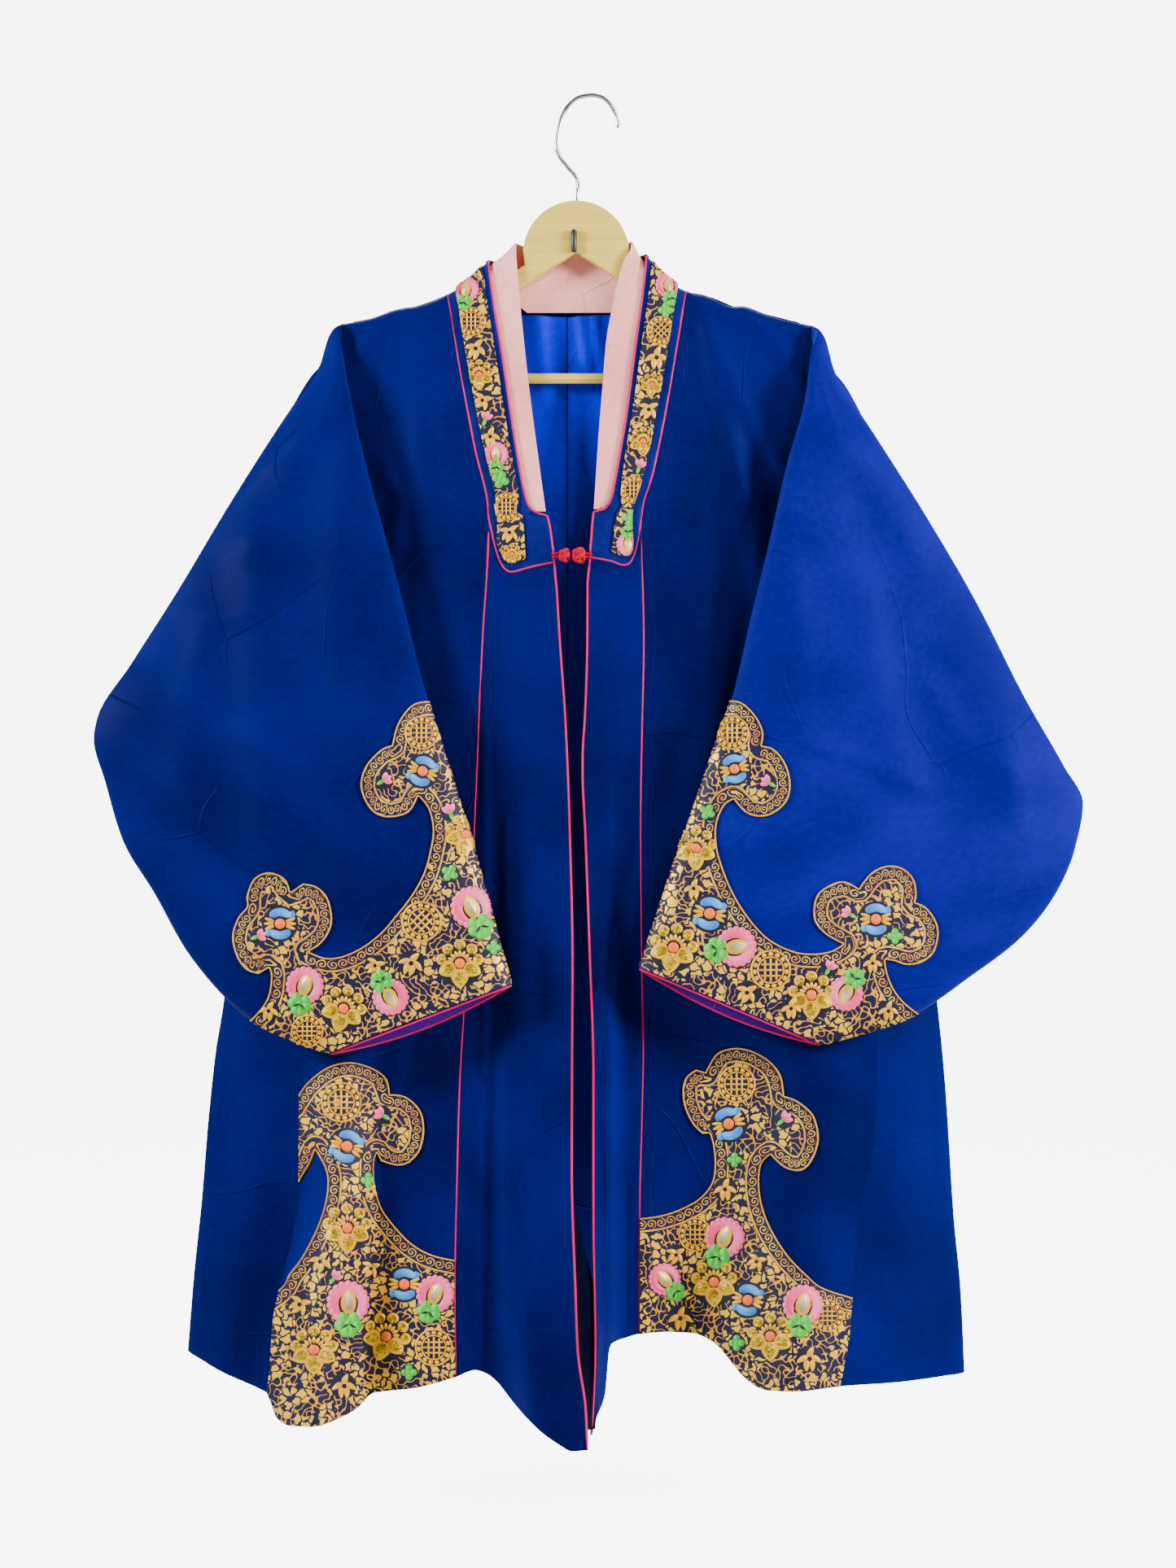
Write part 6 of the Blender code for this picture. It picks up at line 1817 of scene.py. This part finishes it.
def cuffPiping(side, points, normals):
    edge, above, normal = points[-1], points[-3], normals[-1]
    out = np.cross(np.roll(edge, -1, axis=0) - np.roll(edge, 1, axis=0), normal)
    out /= lengths(out)
    out *= np.where((out * (edge - above)).sum(1, keepdims=True) > 0, 1, -1)
    path = edge + (out * pipingRadius * 0.9 - normal * clothWall / 2) * mm
    return tube(f"pipeCuff_{side}", path[::2], pipingRadius, 10, paints["crimson"], closed=True)


knotStyle = {"cord": 1.75, "strands": 3, "turns": 4, "phase": 0.4, "points": 96}
stemStyle = {"radius": 1.3, "apart": 1.35, "lift": 0.2}     # apart: from the button's middle


def knotBall(x, radius):
    path = []
    for k in range(knotStyle["points"]):
        a = 2 * pi * k / knotStyle["points"]
        lat = 0.95 * sin(knotStyle["turns"] * a + knotStyle["phase"])
        r = radius - 1.5 + 0.7 * cos(2 * knotStyle["turns"] * a)
        turn = knotStyle["strands"] * a
        path.append(place(x + r * sin(lat), knotForward + r * cos(lat) * cos(turn),
                          knotZ + r * cos(lat) * sin(turn)))
    return path


def stem(xs, offset):
    side = "left" if xs[0] < 0 else "right"
    path = [place(x, forward(side, shareAt(side, x, knotZ), knotZ) + stemStyle["lift"], knotZ + offset)
            for x in xs]
    return tubeData(finer(array([path])[0][:, None], 3)[:, 0], stemStyle["radius"], 8, ends=0.5)


def frog(name, middle, radius, xs):
    knot = tubeData(knotBall(middle, radius), knotStyle["cord"], 8, True)
    core = tubeData([place(middle + radius * s, knotForward, knotZ) for s in (-0.7, -0.35, 0, 0.35, 0.7)],
                    radius * 0.72, 12, ends=0.45)
    stems = [stem(xs, offset) for offset in (-stemStyle["apart"], stemStyle["apart"])]
    return joinTubes(name, [knot, core] + stems, paints["knotSilk"])


def rounded(item, size, segments=3):
    edge = item.modifiers.new("Edge", "BEVEL")
    edge.width, edge.segments, edge.limit_method, edge.angle_limit = size * mm, segments, "ANGLE", 0.6
    smoothed(applied(item).data, 0.7)
    return item


def solid(name, verts, faces, paint):
    mesh = meshOf(name, [tuple(v) for v in verts], faces)
    mesh.materials.append(paint)
    facesOutwards(mesh)
    return linked(name, mesh)


def onHanger(x, y, z):      # x from the hanger's centre line
    return Vector((x - hookX, y, z)) * mm


def hangerPieces():
    crownX, crownZ, radius = hangerCrown
    crown = [(crownX + radius * cos(pi * k / 36), crownZ + radius * sin(pi * k / 36))
             for k in range(36, -1, -1)]
    outline = crown + hangerOutline + [(0, archZ)] + [(-x, z) for x, z in reversed(hangerOutline)]
    verts = [onHanger(x, y, z) for y in (-boardDepth / 2, boardDepth / 2) for x, z in outline]
    board = rounded(solid("woodBoard", verts, prismFaces(len(outline)), paints["wood"]), 1.2)

    middle = (barTop + barBottom) / 2
    steps = barRidges * 8
    verts = []
    for x in (-barHalf, barHalf):
        for k in range(steps):
            size = 1 - (1 - barGroove) * 0.5 * (1 + cos(2 * pi * k / 8))
            verts.append(onHanger(x, barDepth / 2 * size * cos(2 * pi * k / steps),
                                  middle + (barTop - barBottom) / 2 * size * sin(2 * pi * k / steps)))
    rail = solid("woodBar", verts, prismFaces(steps), paints["wood"])
    smoothed(rail.data, 0.8)

    table = [(i, x, z) for i, (x, z) in enumerate(hookRoute)]
    count = (len(hookRoute) - 1) * 8 + 1
    wire = [onHanger(follow(table, i / 8, 1), 0, follow(table, i / 8, 2)) for i in range(count)]
    hook = tube("steelHook", wire, wireSize / 2, 16, paints["steel"], ends=0.75)
    pegX, pegTop, pegBottom, pegRadius = pegShape
    pegY = -(boardDepth / 2 + seamGap + pegRadius)
    path = [onHanger(pegX, pegY, mix(pegTop, pegBottom, t)) for t in (0, 0.08, 0.5, 0.92, 1)]
    peg = tube("enamelPeg", path, pegRadius, 14, paints["enamel"], ends=0.6)
    return {"hanger_board": board, "hanger_bar": rail, "hanger_hook": hook, "hanger_peg": peg}


# Putting the coat together

made = {}       # CAD node: the piece that shows for it
trims = []      # pieces laid on others
hemBrocadeFrom = 0.6        # share down the front from which the hem's brocade is cut
liningSeamShade = {"rows": 80, "radius": 0.45}


def brocadePanel(kind, side, points, normals, outlines, closed=False):
    panel = wall(f"cloth{kind}_{side}", points, normals, thinWall, paints["brocade"], closed)
    outline, drawn = smoothOutline(outlines[side])
    cutTo(panel, outline)
    rimMap(panel.data, outline, drawn)
    surface = surfaceOf(panel)
    trims.append((embroider(f"motifs{kind}_{side}", surface, panelMotifs[f"{kind}_{side}"]), "brocade"))
    trims.append((couchedCord(f"cord{kind}_{side}", surface, outline, drawn), "brocade"))
    return panel


for side in outward:
    coat = {"front_side": frontSide(side), "front_centre": frontCentre(side), "collar_band": collarBand(side),
            "collar_ribbon": ribbon(side), "inner_collar": innerCollar(side)}
    coat["back"], coat["lining_back"], liningEdge = back(side)
    coat["sleeve"], coat["cuff_facing"], sleevePoints, sleeveNormals = sleeve(side)
    print("cloth made:", side)

    first = -(len(sleeveOpen[side]) - 1) * detail["rings"] - 1
    raised = sleevePoints[first:] + sleeveNormals[first:] * (thinWall + seamGap) * mm
    raised[-1] = mix(raised[-2], raised[-1], 0.8)       # stops short of the piping
    coat["brocade_cuff"] = brocadePanel("Cuff", side, raised, sleeveNormals[first:], brocadeCuff, True)

    panel = panelPoints(side, trim(sideGrid(side), last=seamGap / 2))
    panel = ruffled(panel, gridNormals(panel), creases[side])
    low = int(len(panel) * hemBrocadeFrom)
    normals = gridNormals(panel)[low:]
    raised = panel[low:] + normals * (thinWall + seamGap) * mm
    coat["brocade_hem"] = brocadePanel("Hem", side, raised, normals, brocadeHem)
    onRibbon = embroider(f"motifsRibbon_{side}", surfaceOf(coat["collar_ribbon"]), ribbonMotifs[side], 0.4)
    trims.append((onRibbon, "ribbon"))
    print("brocade made:", side)

    coat["piping_edge"], coat["piping_band"], coat["piping_princess"] = pipings(side)
    coat["piping_cuff"] = cuffPiping(side, sleevePoints, sleeveNormals)
    made.update({f"{name}_{side}": piece for name, piece in coat.items()})

frontShadeFacing = paintedShadeFacing()
# Each half of the button: middle and radius of its knot, and x along its stems
made["frog_button"] = frog("knotButton", 2.2, 7.0, (6.5, 8.5, 10.5, 12.5, 14))
made["frog_loop"] = frog("knotLoop", -10.2, 6.0, (-21.5, -20, -18, -16.5, -14.5))
made.update(hangerPieces())
print("pipings, knots and hanger made")

for name, piece in made.items():
    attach(piece, "root")
    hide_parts(name)
# a thin near-black cord down the lining's centre seam: painted shade in the seam's groove
seam = tube("liningSeamShadeCord", liningEdge[:liningSeamShade["rows"]], liningSeamShade["radius"], 8, paints["shade"])
trims += [(frontShadeFacing, "satin"), (seam, "lining")]
for piece, slot in trims:
    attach(piece, "root")


print("cloth declared")


# Floor, lights and camera

backdrop = {"toCamera": 7.0, "lighting": 0.14, "tone": (0.97, 0.98, 1.0, 1)}
floorHalf = 40      # metres
floorHeight = -1.26
floorMesh = meshOf("floor", [(x * floorHalf, y * floorHalf, floorHeight)
                             for x, y in ((-1, -1), (1, -1), (1, 1), (-1, 1))], [(0, 1, 2, 3)])
floor = linked("floor", floorMesh)
floorPaint, floorTree, floorShader = startPaint("floorPaint", {
    "Roughness": 0.9, "Base Color": (0.45, 0.45, 0.45, 1), "Emission Color": backdrop["tone"]})
onFloor = node(floorTree, "ShaderNodeLightPath").outputs["Is Camera Ray"]
feed(floorTree, floorShader.inputs, {"Emission Strength": times(floorTree, onFloor, backdrop["toCamera"])})
floorMesh.materials.append(floorPaint)

world = bpy.data.worlds.new("studio")
world.use_nodes = True
worldTree = world.node_tree
toCamera = node(worldTree, "ShaderNodeLightPath").outputs["Is Camera Ray"]
bright = node(worldTree, "ShaderNodeMapRange", {0: toCamera, 3: backdrop["lighting"],
                                                4: backdrop["toCamera"]})
feed(worldTree, worldTree.nodes["Background"].inputs, {0: backdrop["tone"], 1: bright.outputs[0]})
bpy.context.scene.world = world

lamps = {       # x, y, z in metres, watts, size, colour
    "right": (2.35, -1.1, 0.05, 165, 0.6, (1.0, 0.97, 1.0)),
    "left": (-2.35, -1.1, 0.4, 165, 0.6, (0.95, 1.0, 1.0)),
    "front": (1.5, -1.75, 1.1, 38, 0.8, (1.0, 1.0, 1.0)),
    "behind": (0.0, 1.8, 0.9, 45, 1.4, (1.0, 1.0, 1.0)),
}
for name, (x, y, z, watts, size, colour) in lamps.items():
    data = bpy.data.lights.new(name, "AREA")
    data.energy, data.size, data.color = watts, size, colour
    lamp = linked(name, data)
    lamp.location = (x, y, z)
    lamp.rotation_euler = (Vector((0, 0, -0.6)) - Vector((x, y, z))).to_track_quat("-Z", "Y").to_euler()

view = bpy.data.cameras.new("view")
view.sensor_fit = "VERTICAL"
view.sensor_height, view.lens = 36.0, 62.27
camera = linked("view", view)
camera.location = ((eyeX - hookX) * mm, -eyeDistance * mm, eyeZ * mm)
camera.rotation_euler = (pi / 2, 0, 0)
bpy.context.scene.camera = camera
